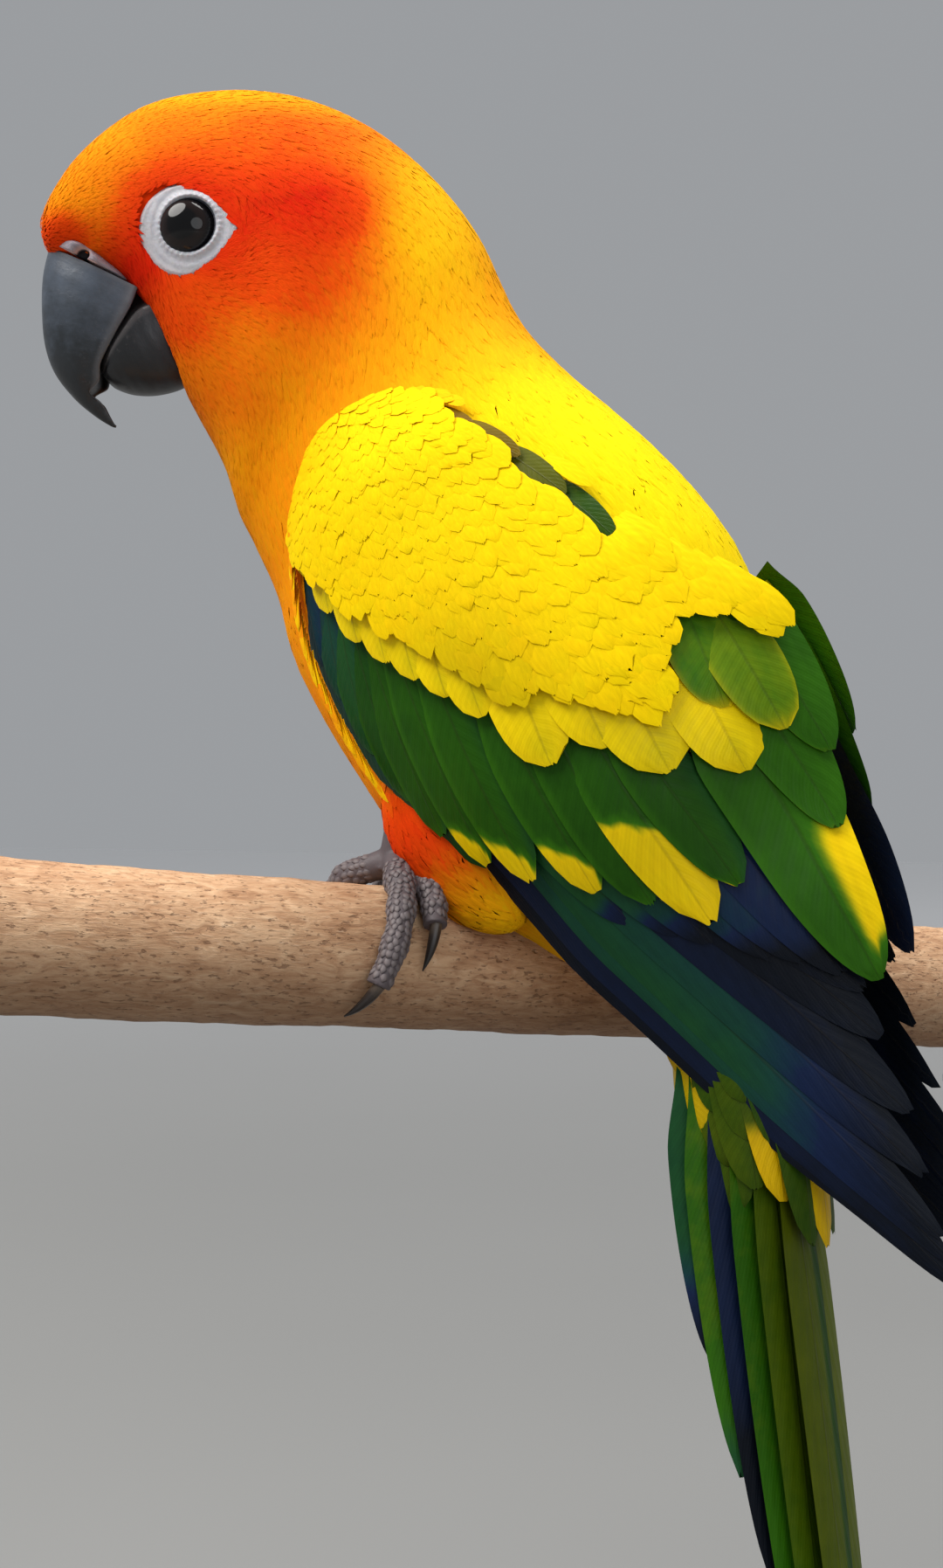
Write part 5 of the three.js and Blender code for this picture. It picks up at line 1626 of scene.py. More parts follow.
def bare_finish(name, low, high):
    """Bare skin of the eye ring or the cere: greyish white, finely wrinkled."""
    finish = Finish(name, 0.55, Subsurface_Weight=0.12, Subsurface_Scale=0.001,
                    Specular_IOR_Level=0.3)
    out, turn, pink = finish.attribute("marking")
    place = finish.place()
    blotch = finish.noise(place, 700.0, 3.0, 0.6)
    pore = finish.cells(place, 2600.0)
    wrinkle = finish.noise(finish.joined(out * 9.0, turn * 2.2, 0.0), 3.0, 3.0, 0.6)
    pale = finish.mix(low, high, blotch)
    warm = finish.mix(pale, srgb(226, 182, 170), pink * (0.5 + blotch * 0.5))
    dents = (1.0 - pore.step(0.0, 0.55)) * 0.12 + wrinkle.step(0.55, 0.8) * 0.14
    shaded = finish.mix(warm, srgb(112, 108, 116), dents)
    # Painted shade: the nostril's pit is painted near black.
    shaded = finish.mix(shaded, srgb(30, 22, 24), pink.step(1.1, 1.8))
    shaded = finish.mix(shaded, srgb(70, 70, 80), (-pink).step(0.1, 0.9))
    finish.bump(pore * 0.5 + wrinkle * 1.2, 0.12, 0.8)
    return finish.wear(Base_Color=shaded, Roughness=0.48 + blotch * 0.16)


def eye_finish():
    """The eye: a very dark brown iris round a black pupil, under a clear gloss."""
    finish = Finish("eye", 0.05, Specular_IOR_Level=0.32)
    out, _, _ = finish.attribute("marking")
    fleck = finish.noise(finish.place(), 1500.0, 3.0, 0.7)
    colour = finish.ramp(out + (fleck - 0.5) * 0.06, [
        (0.0, srgb(3, 3, 4)), (0.50, srgb(4, 3, 4)), (0.58, srgb(20, 11, 9)),
        (0.76, srgb(26, 15, 13)), (0.88, srgb(11, 9, 12)), (1.0, srgb(6, 6, 8))])
    return finish.wear(Base_Color=colour, Roughness=0.05 + fleck * 0.03)


def foot_finish(name):
    """Scaly skin of the feet: grey with a mauve cast, pale on the scales' crowns."""
    finish = Finish(name, 0.55, Specular_IOR_Level=0.4)
    along, across, own = finish.attribute("marking")
    place = finish.place()
    grime = finish.noise(place, 500.0, 4.0, 0.6)
    grain = finish.noise(place, 3200.0, 3.0, 0.6)
    crown = (1.0 - across.size().step(0.2, 0.9)) * along.step(0.15, 0.6)
    base = finish.mix(srgb(74, 65, 68), srgb(108, 97, 99), grime * 0.6 + own * 0.4)
    # Pale scale crowns: partly their own paler colour, partly a painted glint where light catches them.
    worn = finish.mix(base, srgb(148, 138, 135), crown * (0.16 + grain * 0.30))
    finish.bump(grain + grime * 0.5, 0.05, 0.8)
    return finish.wear(Base_Color=worn, Roughness=0.46 + grain * 0.2)


def claw_finish():
    """Claws: near black horn, browner at the root, with lengthwise lines."""
    finish = Finish("claw", 0.34, Specular_IOR_Level=0.5)
    along, across, _ = finish.attribute("marking")
    line = (across * 9.0).sine()
    cloud = finish.noise(finish.place(), 900.0, 3.0, 0.6)
    tone = finish.ramp(along + (cloud - 0.5) * 0.3, [
        (0.0, srgb(92, 78, 66)), (0.25, srgb(46, 38, 34)), (1.0, srgb(20, 18, 18))])
    finish.bump(line * 0.3 + cloud * 0.6, 0.05, 0.7)
    return finish.wear(Base_Color=tone, Roughness=0.28 + cloud * 0.2)


def along_branch(finish):
    """Distances along the branch and across it, in mm, from the point under the bird."""
    place = finish.node("ShaderNodeVectorMath", {"operation": "SUBTRACT"},
                        [finish.place(), tuple(BIRD_ORIGIN * MM)])
    flipped = (-1.0, -1.0, 1.0)
    parts = []
    for line in (perch_line, perch_front, perch_up):
        axis = tuple(np.asarray(line) * flipped / MM)
        parts.append(finish.node("ShaderNodeVectorMath", {"operation": "DOT_PRODUCT"}, [place, axis]))
    return parts


def bark_finish():
    """The branch: tan wood worn smooth, with short wavy flecks along it, and rings on its sawn ends."""
    finish = Finish("branch", 0.7, Specular_IOR_Level=0.25)
    along, front, up = along_branch(finish)
    stretched = finish.joined(along * 0.30, front, up)
    fleck = finish.noise(stretched, 0.85, 5.0, 0.62, 0.9)
    fibre = finish.noise(finish.joined(along * 0.10, front, up), 5.0, 3.0, 0.6)
    cloud = finish.noise(finish.joined(along * 0.5, front, up), 0.10, 3.0, 0.5)
    pits = finish.noise(finish.joined(along * 0.35, front, up), 2.2, 2.0, 0.6)
    tone = finish.ramp(fleck * 0.75 + cloud * 0.45 - 0.08, [
        (0.25, srgb(142, 100, 70)), (0.45, srgb(192, 148, 112)), (0.62, srgb(220, 180, 142)),
        (0.80, srgb(236, 204, 170))])
    dark = (1.0 - pits.step(0.30, 0.42)) * 0.55
    stained = finish.mix(tone, srgb(98, 62, 42), dark)
    lined = finish.mix(stained, srgb(240, 214, 186), fibre.step(0.55, 0.8) * 0.35)
    # Painted shade: the wood darkens towards the branch's underside, where shade falls.
    fine = finish.mix(lined, srgb(92, 66, 46), (-up + cloud * 4.0).step(1.5, 9.0) * 0.55)
    radius = (front * front + up * up) ** 0.5
    ring = (radius * 5.2 + cloud * 3.0).sine()
    sawn = finish.mix(srgb(206, 172, 130), srgb(160, 118, 80), ring * 0.5 + 0.5)
    pith = finish.mix(sawn, srgb(96, 64, 42), 1.0 - radius.step(0.8, 1.6))
    middle = (PERCH_LEFT + PERCH_RIGHT) / 2
    half = (PERCH_RIGHT - PERCH_LEFT) / 2
    end = (along - middle).size().step(half - 0.55, half - 0.25) * (1.0 - radius.step(8.7, 9.2))
    finish.bump(fleck * 0.8 + fibre * 0.35 - dark * 0.8, 0.35, 0.8)
    return finish.wear(Base_Color=finish.mix(fine, pith, end), Roughness=0.62 + fleck * 0.2)


def base_finish():
    """The stand's base: dark stained hardwood under a satin varnish."""
    finish = Finish("stand_base", 0.35, Coat_Weight=0.25, Coat_Roughness=0.25)
    place = finish.place()
    grain = finish.noise(finish.scaled(place, (18.0, 260.0, 260.0)), 1.0, 5.0, 0.6, 0.6)
    pore = finish.noise(finish.scaled(place, (60.0, 1500.0, 1500.0)), 1.0, 2.0, 0.5)
    tone = finish.ramp(grain, [(0.3, srgb(38, 24, 17)), (0.55, srgb(66, 42, 28)), (0.75, srgb(92, 60, 40))])
    pored = finish.mix(tone, srgb(22, 14, 10), (1.0 - pore.step(0.3, 0.42)) * 0.7)
    finish.bump(grain * 0.4 + pore * 0.4, 0.06, 0.6)
    return finish.wear(Base_Color=pored, Roughness=0.30 + grain * 0.15)


def steel_finish():
    """The rods: brushed steel."""
    finish = Finish("stand_steel", 0.3, Metallic=1.0)
    place = finish.place()
    brushed = finish.noise(finish.scaled(place, (3000.0, 3000.0, 60.0)), 1.0, 3.0, 0.6)
    cloud = finish.noise(place, 90.0, 2.0)
    tone = finish.mix(srgb(150, 152, 156), srgb(188, 190, 192), brushed * 0.6 + cloud * 0.4)
    finish.bump(brushed, 0.01, 0.5)
    return finish.wear(Base_Color=tone, Roughness=0.24 + brushed * 0.14)


# Bill and cere.

BILL_COLUMNS = 96


def bill_rings(rows, count, pinch, rise):
    """Sections of a bill piece in the head's frame, and the piece's markings.

    The sections are round over its ridge, straight down to the cutting edges, and closed between them.
    `pinch` narrows the cutting edges. `rise` is how far the closing face stands in from them, in mm.
    """
    dense = densify(rows, count)
    there = 1 - np.abs(np.arange(BILL_COLUMNS) / BILL_COLUMNS * 2 - 1)
    sign = np.where(np.arange(BILL_COLUMNS) < BILL_COLUMNS / 2, 1.0, -1.0)
    flank = np.clip(there / 0.74, 0, 1) ** 1.7
    width = (1 - (1 - flank) ** 2.3) ** (1 / 2.3) * (1 - pinch * smooth(0.45, 1.0, flank))
    closing = np.clip((there - 0.74) / 0.26, 0, 1)
    width = width * (1 - closing)
    front_x, front_z, inner_x, inner_z, half = (column[:, None] for column in dense.T)
    deep = np.hypot(inner_x - front_x, inner_z - front_z)
    inward = flank[None] + smooth(0.12, 0.40, closing)[None] * rise / deep * np.clip(deep / 8, 0, 1)
    x = blend(front_x, inner_x, inward)
    z = blend(front_z, inner_z, inward)
    side = (sign * width)[None] * half
    # The third marking picks out the closing face, painted near black as shade in the mouth's gap.
    marks = beside(np.linspace(0, 1, count)[:, None], flank[None], smooth(0.08, 0.16, closing)[None])
    return beside(x, side, z), marks


def build_upper_bill(horn):
    rows = [list(row) for row in BILL_UPPER] + [[52.2, 73.9, 52.1, 74.2, 0.12]]
    head, marks = bill_rings(rows, 96, 0.10, -1.2)
    # The cutting edge swells a little before the notch behind the hook.
    swell = np.exp(-((marks[..., 0] - 0.52) / 0.07) ** 2) * smooth(0.75, 1.0, marks[..., 1])
    head[..., 0] -= swell * 0.7
    head[..., 2] -= swell * 0.5
    notch = np.exp(-((marks[..., 0] - 0.66) / 0.05) ** 2) * smooth(0.7, 1.0, marks[..., 1])
    head[..., 0] += notch * 0.9
    return loft_piece("bill_upper_horn", head_to_bird(head), horn, marks, 42 * DEG)


def build_lower_bill(horn):
    rows = [list(row) for row in BILL_LOWER] + [[53.2, 80.2, 53.9, 81.3, 2.2]]
    head, marks = bill_rings(rows, 64, 0.04, 2.4)
    # The pale rim of the cutting edge stands a little away from the upper bill.
    rim = smooth(0.55, 1.0, marks[..., 1]) * (1 - marks[..., 2])
    head[..., 0] -= rim * 0.55
    head[..., 2] -= rim * 0.20
    return loft_piece("bill_lower_horn", head_to_bird(head), horn, marks, 42 * DEG)


CERE_COLUMNS = 176


def build_cere(skin_look):
    """The cere over the bill's root, swollen round each nostril."""
    count = 34
    dense = densify(CERE, count)
    angle = angles_round(CERE_COLUMNS)
    inward = (1 - np.cos(angle)) / 2
    front_x, front_z, inner_x, inner_z, half = (column[:, None] for column in dense.T)
    along = np.linspace(0, 1, count)[:, None]
    plump = 0.35 * np.sin(along * math.pi)
    x = blend(front_x + plump, inner_x, inward[None])
    z = blend(front_z, inner_z, inward[None])
    side = np.sin(angle)[None] * (half + plump)
    head = beside(x, side, z)
    line = through(CERE_LINE, np.clip(head[..., 0], 44, 64))[..., 0]
    head[..., 1] *= 1 - 0.30 * smooth(0.0, 1.3, head[..., 2] - line)
    hollow = np.zeros(head.shape[:2])
    for sign in (1, -1):
        middle = np.array([NOSTRIL["x"], sign * NOSTRIL["side"], NOSTRIL["z"]])
        apart = head - middle
        far = np.sqrt((apart[..., 0] / 1.25) ** 2 + apart[..., 2] ** 2)
        near = (np.sign(head[..., 1]) == sign)
        swell = 0.45 * np.exp(-((far - 1.7) / 0.7) ** 2) * near
        pit = smooth(NOSTRIL["radius"] * 1.15, NOSTRIL["radius"] * 0.55, far) * near
        head[..., 1] += sign * (swell - 1.9 * pit)
        hollow = hollow + pit
    # The third marking rises in the nostrils' pits, which are painted near black as shade.
    marks = beside(along * 2.0, angle[None] * 3.0, 0.12 + 2.0 * hollow)
    return loft_piece("cere_skin", head_to_bird(head), skin_look, marks)


def head_surface_tree():
    """The head's feathered surface, for finding how far out it lies."""
    rows = int(60 / body.reach * body.rows)
    points = bird_to_head(body.points[:rows])
    faces = tube_faces(rows, body.columns)[0]
    corners = [Vector(point) for point in points.reshape(-1, 3)]
    return BVHTree.FromPolygons(corners, [tuple(face) for face in faces.tolist()])


LID = {"inner": 3.42, "crest": 3.85, "rise": 0.45, "rows": 40, "columns": 144, "edge_depth": 0.60}


def build_eye_ring(sign, tree, skin_look):
    """Bare skin round one eye: a lid's rim close on the eye, and wrinkled skin out to the feathers."""
    angle = np.arange(LID["columns"]) * 360.0 / LID["columns"]
    edge = bare_reach(angle) + 0.9
    share = np.linspace(0, 1, LID["rows"])[:, None]
    reach = blend(LID["inner"], edge[None], share)
    dx = -np.cos(angle * DEG)[None] * reach
    dz = np.sin(angle * DEG)[None] * reach
    x = EYE["x"] + dx
    z = EYE["z"] + dz
    surface = np.empty(x.shape)
    for k in np.ndindex(x.shape):
        hit = tree.ray_cast(Vector((x[k], sign * 40.0, z[k])), Vector((0.0, -sign, 0.0)))
        surface[k] = abs(hit[0][1]) if hit[0] else EYE["side"]
    lid = LID["rise"] * np.exp(-((reach - LID["crest"]) / 0.55) ** 2)
    fold = 0.04 * np.sin((reach - LID["crest"]) * 5.2 + 0.5 * np.sin(angle * DEG * 5)[None])
    fold = fold * smooth(4.3, 5.0, reach) * smooth(1.0, 0.75, share)
    bead = 0.07 * np.sin(angle * DEG * 34)[None] * np.exp(-((reach - LID["crest"] - 0.15) / 0.5) ** 2)
    sink = -LID["edge_depth"] * smooth(0.72, 1.0, share) - 0.55 * smooth(0.22, 0.0, share)
    side = surface - 0.15 + lid + fold + bead + sink
    under = side - 1.6
    outer = beside(x, sign * side, z)
    inner = beside(x, sign * under, z)
    rings = np.concatenate([outer, inner[::-1], outer[:1]], axis=0)
    pink = 0.10 + 0.35 * smooth(0.55, 0.95, share) - 1.1 * smooth(3.78, 3.5, reach)
    marks = beside(reach, angle[None] * DEG * 3, pink)
    marks = np.concatenate([marks, marks[::-1], marks[:1]], axis=0)
    name = "eye_ring_left" if sign > 0 else "eye_ring_right"
    return close_up(tube_piece(name, head_to_bird(rings), marks, capped=False), skin_look)


def build_eye(sign, gloss):
    """The eyeball, with a cornea that stands a little proud of it."""
    start_fresh()
    bpy.ops.mesh.primitive_uv_sphere_add(segments=64, ring_count=40, radius=EYE["radius"] * MM)
    eye = bpy.context.object
    eye.name = "eyeball_left" if sign > 0 else "eyeball_right"
    bpy.ops.object.mode_set(mode="EDIT")
    cornea = EYE["radius"] * MM * 0.80
    choose(eye, lambda point: point.co.z > cornea)
    bpy.ops.transform.translate(value=(0, 0, 0.22 * MM), use_proportional_edit=True,
                                proportional_edit_falloff="SMOOTH", proportional_size=1.6 * MM)
    bpy.ops.object.mode_set(mode="OBJECT")
    local = read_points(eye.data) / MM
    out = np.hypot(local[:, 0], local[:, 1]) / 3.9
    out = np.where(local[:, 2] < 0, 1.2, out)
    toe = EYE["toe_in"]
    forward, across, height = local[:, 0], local[:, 2], local[:, 1]
    x = EYE["x"] + forward * math.cos(toe) + across * math.sin(toe)
    side = sign * (EYE["side"] - EYE["depth"] - forward * math.sin(toe) + across * math.cos(toe))
    points = to_model(head_to_bird(np.stack([x, side, EYE["z"] + height], -1)))
    write_points(eye.data, points)
    write_field(eye.data, "marking", beside(out, 0.0, 0.0))
    return close_up(eye, gloss)


# Feet.

# Toes: name, splay along the branch, side of the branch, length of arc in degrees, slant.
TOES = [
    ("outer_front", -3.2, 1, 98, -2.0),
    ("inner_front", 1.8, 1, 84, 3.0),
    ("outer_back", -0.8, -1, 106, -6.5),
    ("inner_back", 2.4, -1, 66, -3.5),
]
TOE = {"radius": 1.9, "gap": 0.3, "start": 22, "taper": (1.08, 0.8), "pads": 4, "swell": 0.08}
TOE_REACH = PERCH_RADIUS + TOE["radius"] + TOE["gap"]
ANKLE_RISE = PERCH_RADIUS + 3.4
LEG = {"rise": PERCH_RADIUS + 12, "lean": 0.25, "radii": (1.6, 2.9, 2.5, 2.4, 2.6), "sole": 1.6}
CLAW = {"length": 5.6, "gap": 0.55, "lift": (0.3, -1.3), "radii": (1.15, 1.0, 0.66), "slim": 0.70}
FEET = {"left": (-15.0, 1, (2, 12, 26)), "right": (15.5, -1, (-4, -12, 26))}
LIMB_COLUMNS = 48


def perch_point(along, radius, angle):
    """A point by its place along the branch, its distance from the branch's axis and its angle round it."""
    along, radius, angle = (np.asarray(v, float)[..., None] for v in (along, radius, angle))
    return perch_line * along + perch_front * radius * np.cos(angle) + perch_up * radius * np.sin(angle)


def limb_rings(path, radii, count, squash=1.0):
    """Round sections along a smooth path, whose radius runs through `radii`."""
    key = np.linspace(0, 1, len(path))
    spots = np.linspace(0, 1, count)
    middle = through(np.column_stack([key, path]), spots)
    radius = through(np.column_stack([np.linspace(0, 1, len(radii)), radii]), spots)[:, 0]
    along = unit(np.gradient(middle, axis=0))
    out = unit(middle - perch_line * (middle @ perch_line)[:, None] - np.array([0.0, 0.0, 1e-6]))
    across = unit(np.cross(along, out))
    up = np.cross(across, along)
    angle = angles_round(LIMB_COLUMNS)
    side = np.cos(angle)[None, :, None] * across[:, None]
    rise = np.sin(angle)[None, :, None] * up[:, None] * squash
    return middle[:, None] + radius[:, None, None] * (side + rise)


def toe_angles(toe, mirror, first, last, count):
    _, splay, side, _, slant = toe
    degrees = np.linspace(first, last, count)
    return mirror * (splay + slant * degrees / 90), (90 - side * degrees) * DEG


def toe_rings(along, toe, mirror):
    slide, angle = toe_angles(toe, mirror, TOE["start"], toe[3], 6)
    path = np.concatenate([perch_point(along, ANKLE_RISE, 90 * DEG)[None],
                           perch_point(along + slide, np.full(6, TOE_REACH), angle)])
    share = np.linspace(0, 1, 25)
    pads = 1 + TOE["swell"] * np.cos(share * TOE["pads"] * 2 * math.pi)
    radii = TOE["radius"] * blend(*TOE["taper"], share) * pads
    return limb_rings(path, radii, 72)


def leg_rings(along, hip):
    sole = perch_point(along, ANKLE_RISE - LEG["sole"], 90 * DEG)
    ankle = perch_point(along, ANKLE_RISE, 90 * DEG)
    top = blend(perch_point(along, LEG["rise"], 90 * DEG), np.array(hip, float), LEG["lean"])
    angle = angles_round(LIMB_COLUMNS)
    key = np.array([0, 0.5, 1.0])
    spots = np.linspace(0, 1, 40)
    middle = through(np.column_stack([key, [sole, ankle, top]]), spots)
    radius = through(np.column_stack([np.linspace(0, 1, 5), LEG["radii"]]), spots)[:, 0]
    turned = np.cos(angle)[:, None] * perch_line + np.sin(angle)[:, None] * perch_front
    return middle[:, None] + radius[:, None, None] * turned[None]


def claw_rings(along, toe, mirror):
    first = toe[3] + CLAW["gap"] / TOE_REACH / DEG - 4.0
    last = toe[3] + (CLAW["gap"] + CLAW["length"]) / TOE_REACH / DEG
    slide, angle = toe_angles(toe, mirror, first, last, 7)
    path = perch_point(along + slide, blend(TOE_REACH + CLAW["lift"][0], TOE_REACH + CLAW["lift"][1],
                                            np.linspace(0, 1, 7)), angle)
    rings = limb_rings(path, list(CLAW["radii"]) + [0.12], 36)
    middle = rings.mean(axis=1, keepdims=True)
    return middle + (rings - middle) * CLAW["slim"]


SCUTE = Shape(4, 5, 0.42, 0.75, 2.6, 0.02)
FOOT_CELL = 0.32                 # size of the faces of a foot's skin
# Scales of the leg and of the toes: spacing, length, half width, and where they start and stop.
LEG_SCALES = (1.15, 1.75, 0.78, 5.0, 0.8)
TOE_SCALES = (1.05, 1.5, 0.66, 3.2, 1.4)


def build_foot(side, rng, skin_look, scale_look, claw_look):
    """One foot: leg and toes in one skin, scales laid over it, and its claws."""
    along, mirror, hip = FEET[side]
    limbs = [leg_rings(along, hip)] + [toe_rings(along, toe, mirror) for toe in TOES]
    parts = [close_up(tube_piece(f"foot_skin_{side}", rings), skin_look) for rings in limbs]
    foot = melt(parts, f"foot_skin_{side}", FOOT_CELL, 5, skin_look)
    dress(foot, "foot_skin", f"foot_{side}")
    points = []
    own = []
    for k, rings in enumerate(limbs):
        form = Form(rings, 0.25)
        outward = form.points - form.points.mean(axis=1, keepdims=True)
        if np.mean(np.sum(form.normals * outward, -1)) < 0:
            form = Form(rings[:, ::-1], 0.25)
        pitch, length, half, first, last = LEG_SCALES if k == 0 else TOE_SCALES
        roots = scatter(form, [[0, pitch], [60, pitch * 0.8]], rng, first, form.reach - last, 0.86)
        count = len(roots)
        laid, _, _ = lay(form, SCUTE, roots, rng.normal(0, 0.10, count), np.full(count, length),
                         np.full(count, half) * rng.uniform(0.85, 1.1, count), rng, (-0.30, 0.02), 0.34)
        points.append(laid)
        own.append(vane_marks(SCUTE, count, rng))
    points = np.concatenate(points)
    own = np.concatenate(own)
    keep = ~inside(branch_only_tree, points.mean(axis=1), 0.12)
    points = points[keep]
    own = own[keep]
    scales = make_piece(f"foot_scales_{side}", to_model(points).reshape(-1, 3), SCUTE.faces(len(points)),
                        scale_look, own.reshape(-1, 3))
    dress(scales, "foot_skin")
    for toe in TOES:
        rings = claw_rings(along, toe, mirror)
        rows, columns = rings.shape[:2]
        marks = beside(np.linspace(0, 1, rows)[:, None], angles_round(columns), 0.0)
        claw = loft_piece(f"claw_horn_{side}_{toe[0]}", rings, claw_look, marks)
        dress(claw, "claw", f"claw_{side}_{toe[0]}")


# Branch and stand.

def turn_to_branch(piece):
    """Turns a piece modelled along Z so that it lies along the branch, and moves it there."""
    line = Vector(perch_line * (-1.0, -1.0, 1.0))
    piece.rotation_mode = "QUATERNION"
    piece.rotation_quaternion = Vector((0, 0, 1)).rotation_difference(line)
    middle = perch_line * (PERCH_LEFT + PERCH_RIGHT) / 2
    piece.location = to_model(middle)


def build_branch(bark):
    """The branch: a turned rod whose ends are sawn and chamfered, uneven along its length."""
    start_fresh()
    length = (PERCH_RIGHT - PERCH_LEFT) * MM
    bpy.ops.mesh.primitive_cylinder_add(vertices=96, radius=PERCH_RADIUS * MM, depth=length)
    branch = bpy.context.object
    branch.name = "branch"
    bpy.ops.object.mode_set(mode="EDIT")
    choose(branch, lambda face: abs(face.normal.z) > 0.9, "faces")
    bpy.ops.mesh.inset(thickness=1.1 * MM)
    bpy.ops.mesh.inset(thickness=1.6 * MM)
    choose(branch, lambda edge: abs(abs(edge.verts[0].co.z) - length / 2) < 1e-6
           and abs(abs(edge.verts[1].co.z) - length / 2) < 1e-6
           and min(v.co.xy.length for v in edge.verts) > 0.97 * PERCH_RADIUS * MM, "edges")
    bpy.ops.mesh.bevel(offset=0.7 * MM, segments=4)
    choose(branch, lambda edge: abs(edge.verts[0].co.z - edge.verts[1].co.z) > length * 0.8, "edges")
    bpy.ops.mesh.subdivide(number_cuts=150)
    bpy.ops.object.mode_set(mode="OBJECT")
    local = read_points(branch.data)
    along = local[:, 2] / MM
    round_it = np.arctan2(local[:, 1], local[:, 0])
    wave = (0.10 * np.sin(along * 0.11 + 1.3 * np.sin(round_it)) + 0.07 * np.sin(along * 0.31 + round_it * 2)
            + 0.05 * np.sin(along * 0.77 + round_it * 3 + 1.0) + 0.03 * np.sin(along * 1.9 + round_it * 5))
    grow = 1 + (wave - 0.12) / PERCH_RADIUS
    local[:, :2] *= grow[:, None]
    write_points(branch.data, local)
    branch.data.update()
    turn_to_branch(branch)
    close_up(branch, bark, angle=40 * DEG)
    return dress(branch, "perch_wood", "perch")


def build_stand(wood, steel):
    """The base, and two rods with a collar at the foot and a saddle under the branch."""
    corner = BASE["corner"] * MM
    low, high = (np.array(v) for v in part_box("stand_base"))
    start_fresh()
    bpy.ops.mesh.primitive_cube_add(size=1.0)
    base = bpy.context.object
    base.name = "stand_base_board"
    base.scale = (BASE["length"] * MM, BASE["width"] * MM, BASE["thick"] * MM)
    bpy.ops.object.transform_apply(location=False, rotation=False, scale=True)
    bpy.ops.object.mode_set(mode="EDIT")
    choose(base, lambda edge: abs(edge.verts[0].co.z - edge.verts[1].co.z) > 1e-4, "edges")
    bpy.ops.mesh.bevel(offset=corner, segments=14)
    top = BASE["thick"] * MM / 2
    choose(base, lambda edge: all(v.co.z > top - 1e-5 for v in edge.verts) and len(edge.link_faces) == 2
           and abs(edge.link_faces[0].normal.z - edge.link_faces[1].normal.z) > 0.5, "edges")
    bpy.ops.mesh.bevel(offset=1.6 * MM, segments=5)
    choose(base, lambda face: face.normal.z > 0.99, "faces")
    bpy.ops.mesh.inset(thickness=3.0 * MM)
    bpy.ops.mesh.inset(thickness=0.7 * MM, depth=-0.5 * MM)
    bpy.ops.object.mode_set(mode="OBJECT")
    turn = math.atan2(perch_line[1], perch_line[0])
    base.rotation_euler = (0, 0, turn)
    base.location = ((low[0] + high[0]) / 2, (low[1] + high[1]) / 2, BASE["thick"] * MM / 2)
    close_up(base, wood, angle=35 * DEG)
    dress(base, "stand_wood", "stand_base")
    for side in ("left", "right"):
        low, high = (np.array(v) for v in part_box(f"stand_rod_{side}"))
        middle = (low + high) / 2
        height = high[2] - low[2]
        start_fresh()
        bpy.ops.mesh.primitive_cylinder_add(vertices=48, radius=ROD["radius"] * MM, depth=height)
        rod = bpy.context.object
        rod.name = f"stand_post_{side}"
        bpy.ops.object.mode_set(mode="EDIT")
        for place, wide in ((-height / 2 + 2.6 * MM, 2.3), (height / 2 - 5.0 * MM, 1.5)):
            bpy.ops.mesh.select_all(action="SELECT")
            bpy.ops.mesh.bisect(plane_co=(0, 0, place), plane_no=(0, 0, 1))
            bpy.ops.mesh.select_all(action="SELECT")
            bpy.ops.mesh.bisect(plane_co=(0, 0, place + (0 if place < 0 else 1.6 * MM)), plane_no=(0, 0, 1))
            if place < 0:
                choose(rod, lambda face: face.calc_center_median().z < place and abs(face.normal.z) < 0.5,
                       "faces")
            else:
                choose(rod, lambda face: place < face.calc_center_median().z < place + 1.6 * MM
                       and abs(face.normal.z) < 0.5, "faces")
            bpy.ops.mesh.extrude_region_shrink_fatten(
                TRANSFORM_OT_shrink_fatten={"value": wide * MM})
        choose(rod, lambda edge: len(edge.link_faces) == 2 and edge.calc_face_angle(0) > 1.2, "edges")
        bpy.ops.mesh.bevel(offset=0.35 * MM, segments=3)
        bpy.ops.object.mode_set(mode="OBJECT")
        rod.location = tuple(middle)
        close_up(rod, steel, angle=35 * DEG)
        dress(rod, "stand_metal", f"stand_rod_{side}")


# The photograph's view: from the bird's left and a little behind.
VIEW_TURN = 26 * DEG
LENS = 50.0
ORIGIN_SEEN = {"right": 1.5, "down": 24.4, "away": 297.5}   # the bird's origin from the camera, in mm


def set_camera():
    camera = bpy.data.objects.new("camera", bpy.data.cameras.new("camera"))
    bpy.context.scene.collection.objects.link(camera)
    camera.data.lens = LENS
    camera.data.clip_start = 0.01
    right = np.array([math.cos(VIEW_TURN), math.sin(VIEW_TURN), 0.0])
    away = np.array([-math.sin(VIEW_TURN), math.cos(VIEW_TURN), 0.0])
    up = np.array([0.0, 0.0, 1.0])
    eye = BIRD_ORIGIN - right * ORIGIN_SEEN["right"] + up * ORIGIN_SEEN["down"] - away * ORIGIN_SEEN["away"]
    camera.location = eye * MM
    camera.rotation_euler = (90 * DEG, 0.0, VIEW_TURN)
    bpy.context.scene.camera = camera


def add_light(name, place, aim, size, watts, colour):
    """A round soft light at `place`, turned to `aim`, both in metres."""
    light = bpy.data.lights.new(name, "AREA")
    light.shape = "DISK"
    light.size = size
    light.energy = watts
    light.color = colour
    lamp = bpy.data.objects.new(name, light)
    lamp.location = place
    lamp.rotation_euler = (Vector(aim) - Vector(place)).to_track_quat("-Z", "Y").to_euler()
    bpy.context.scene.collection.objects.link(lamp)


# Lamps: place and size in metres, watts, colour. All are turned to the point `LIT`.
LIT = (0.0, 0.0, 0.16)
LAMPS = (
    ("key", (-0.42, -0.50, 0.98), 0.75, 13.0, (1.0, 0.98, 0.95)),
    ("fill", (0.75, -0.75, 0.45), 0.7, 2.2, (0.94, 0.97, 1.0)),
    ("top", (0.20, 0.15, 1.08), 0.6, 7.5, (1.0, 0.99, 0.97)),
)


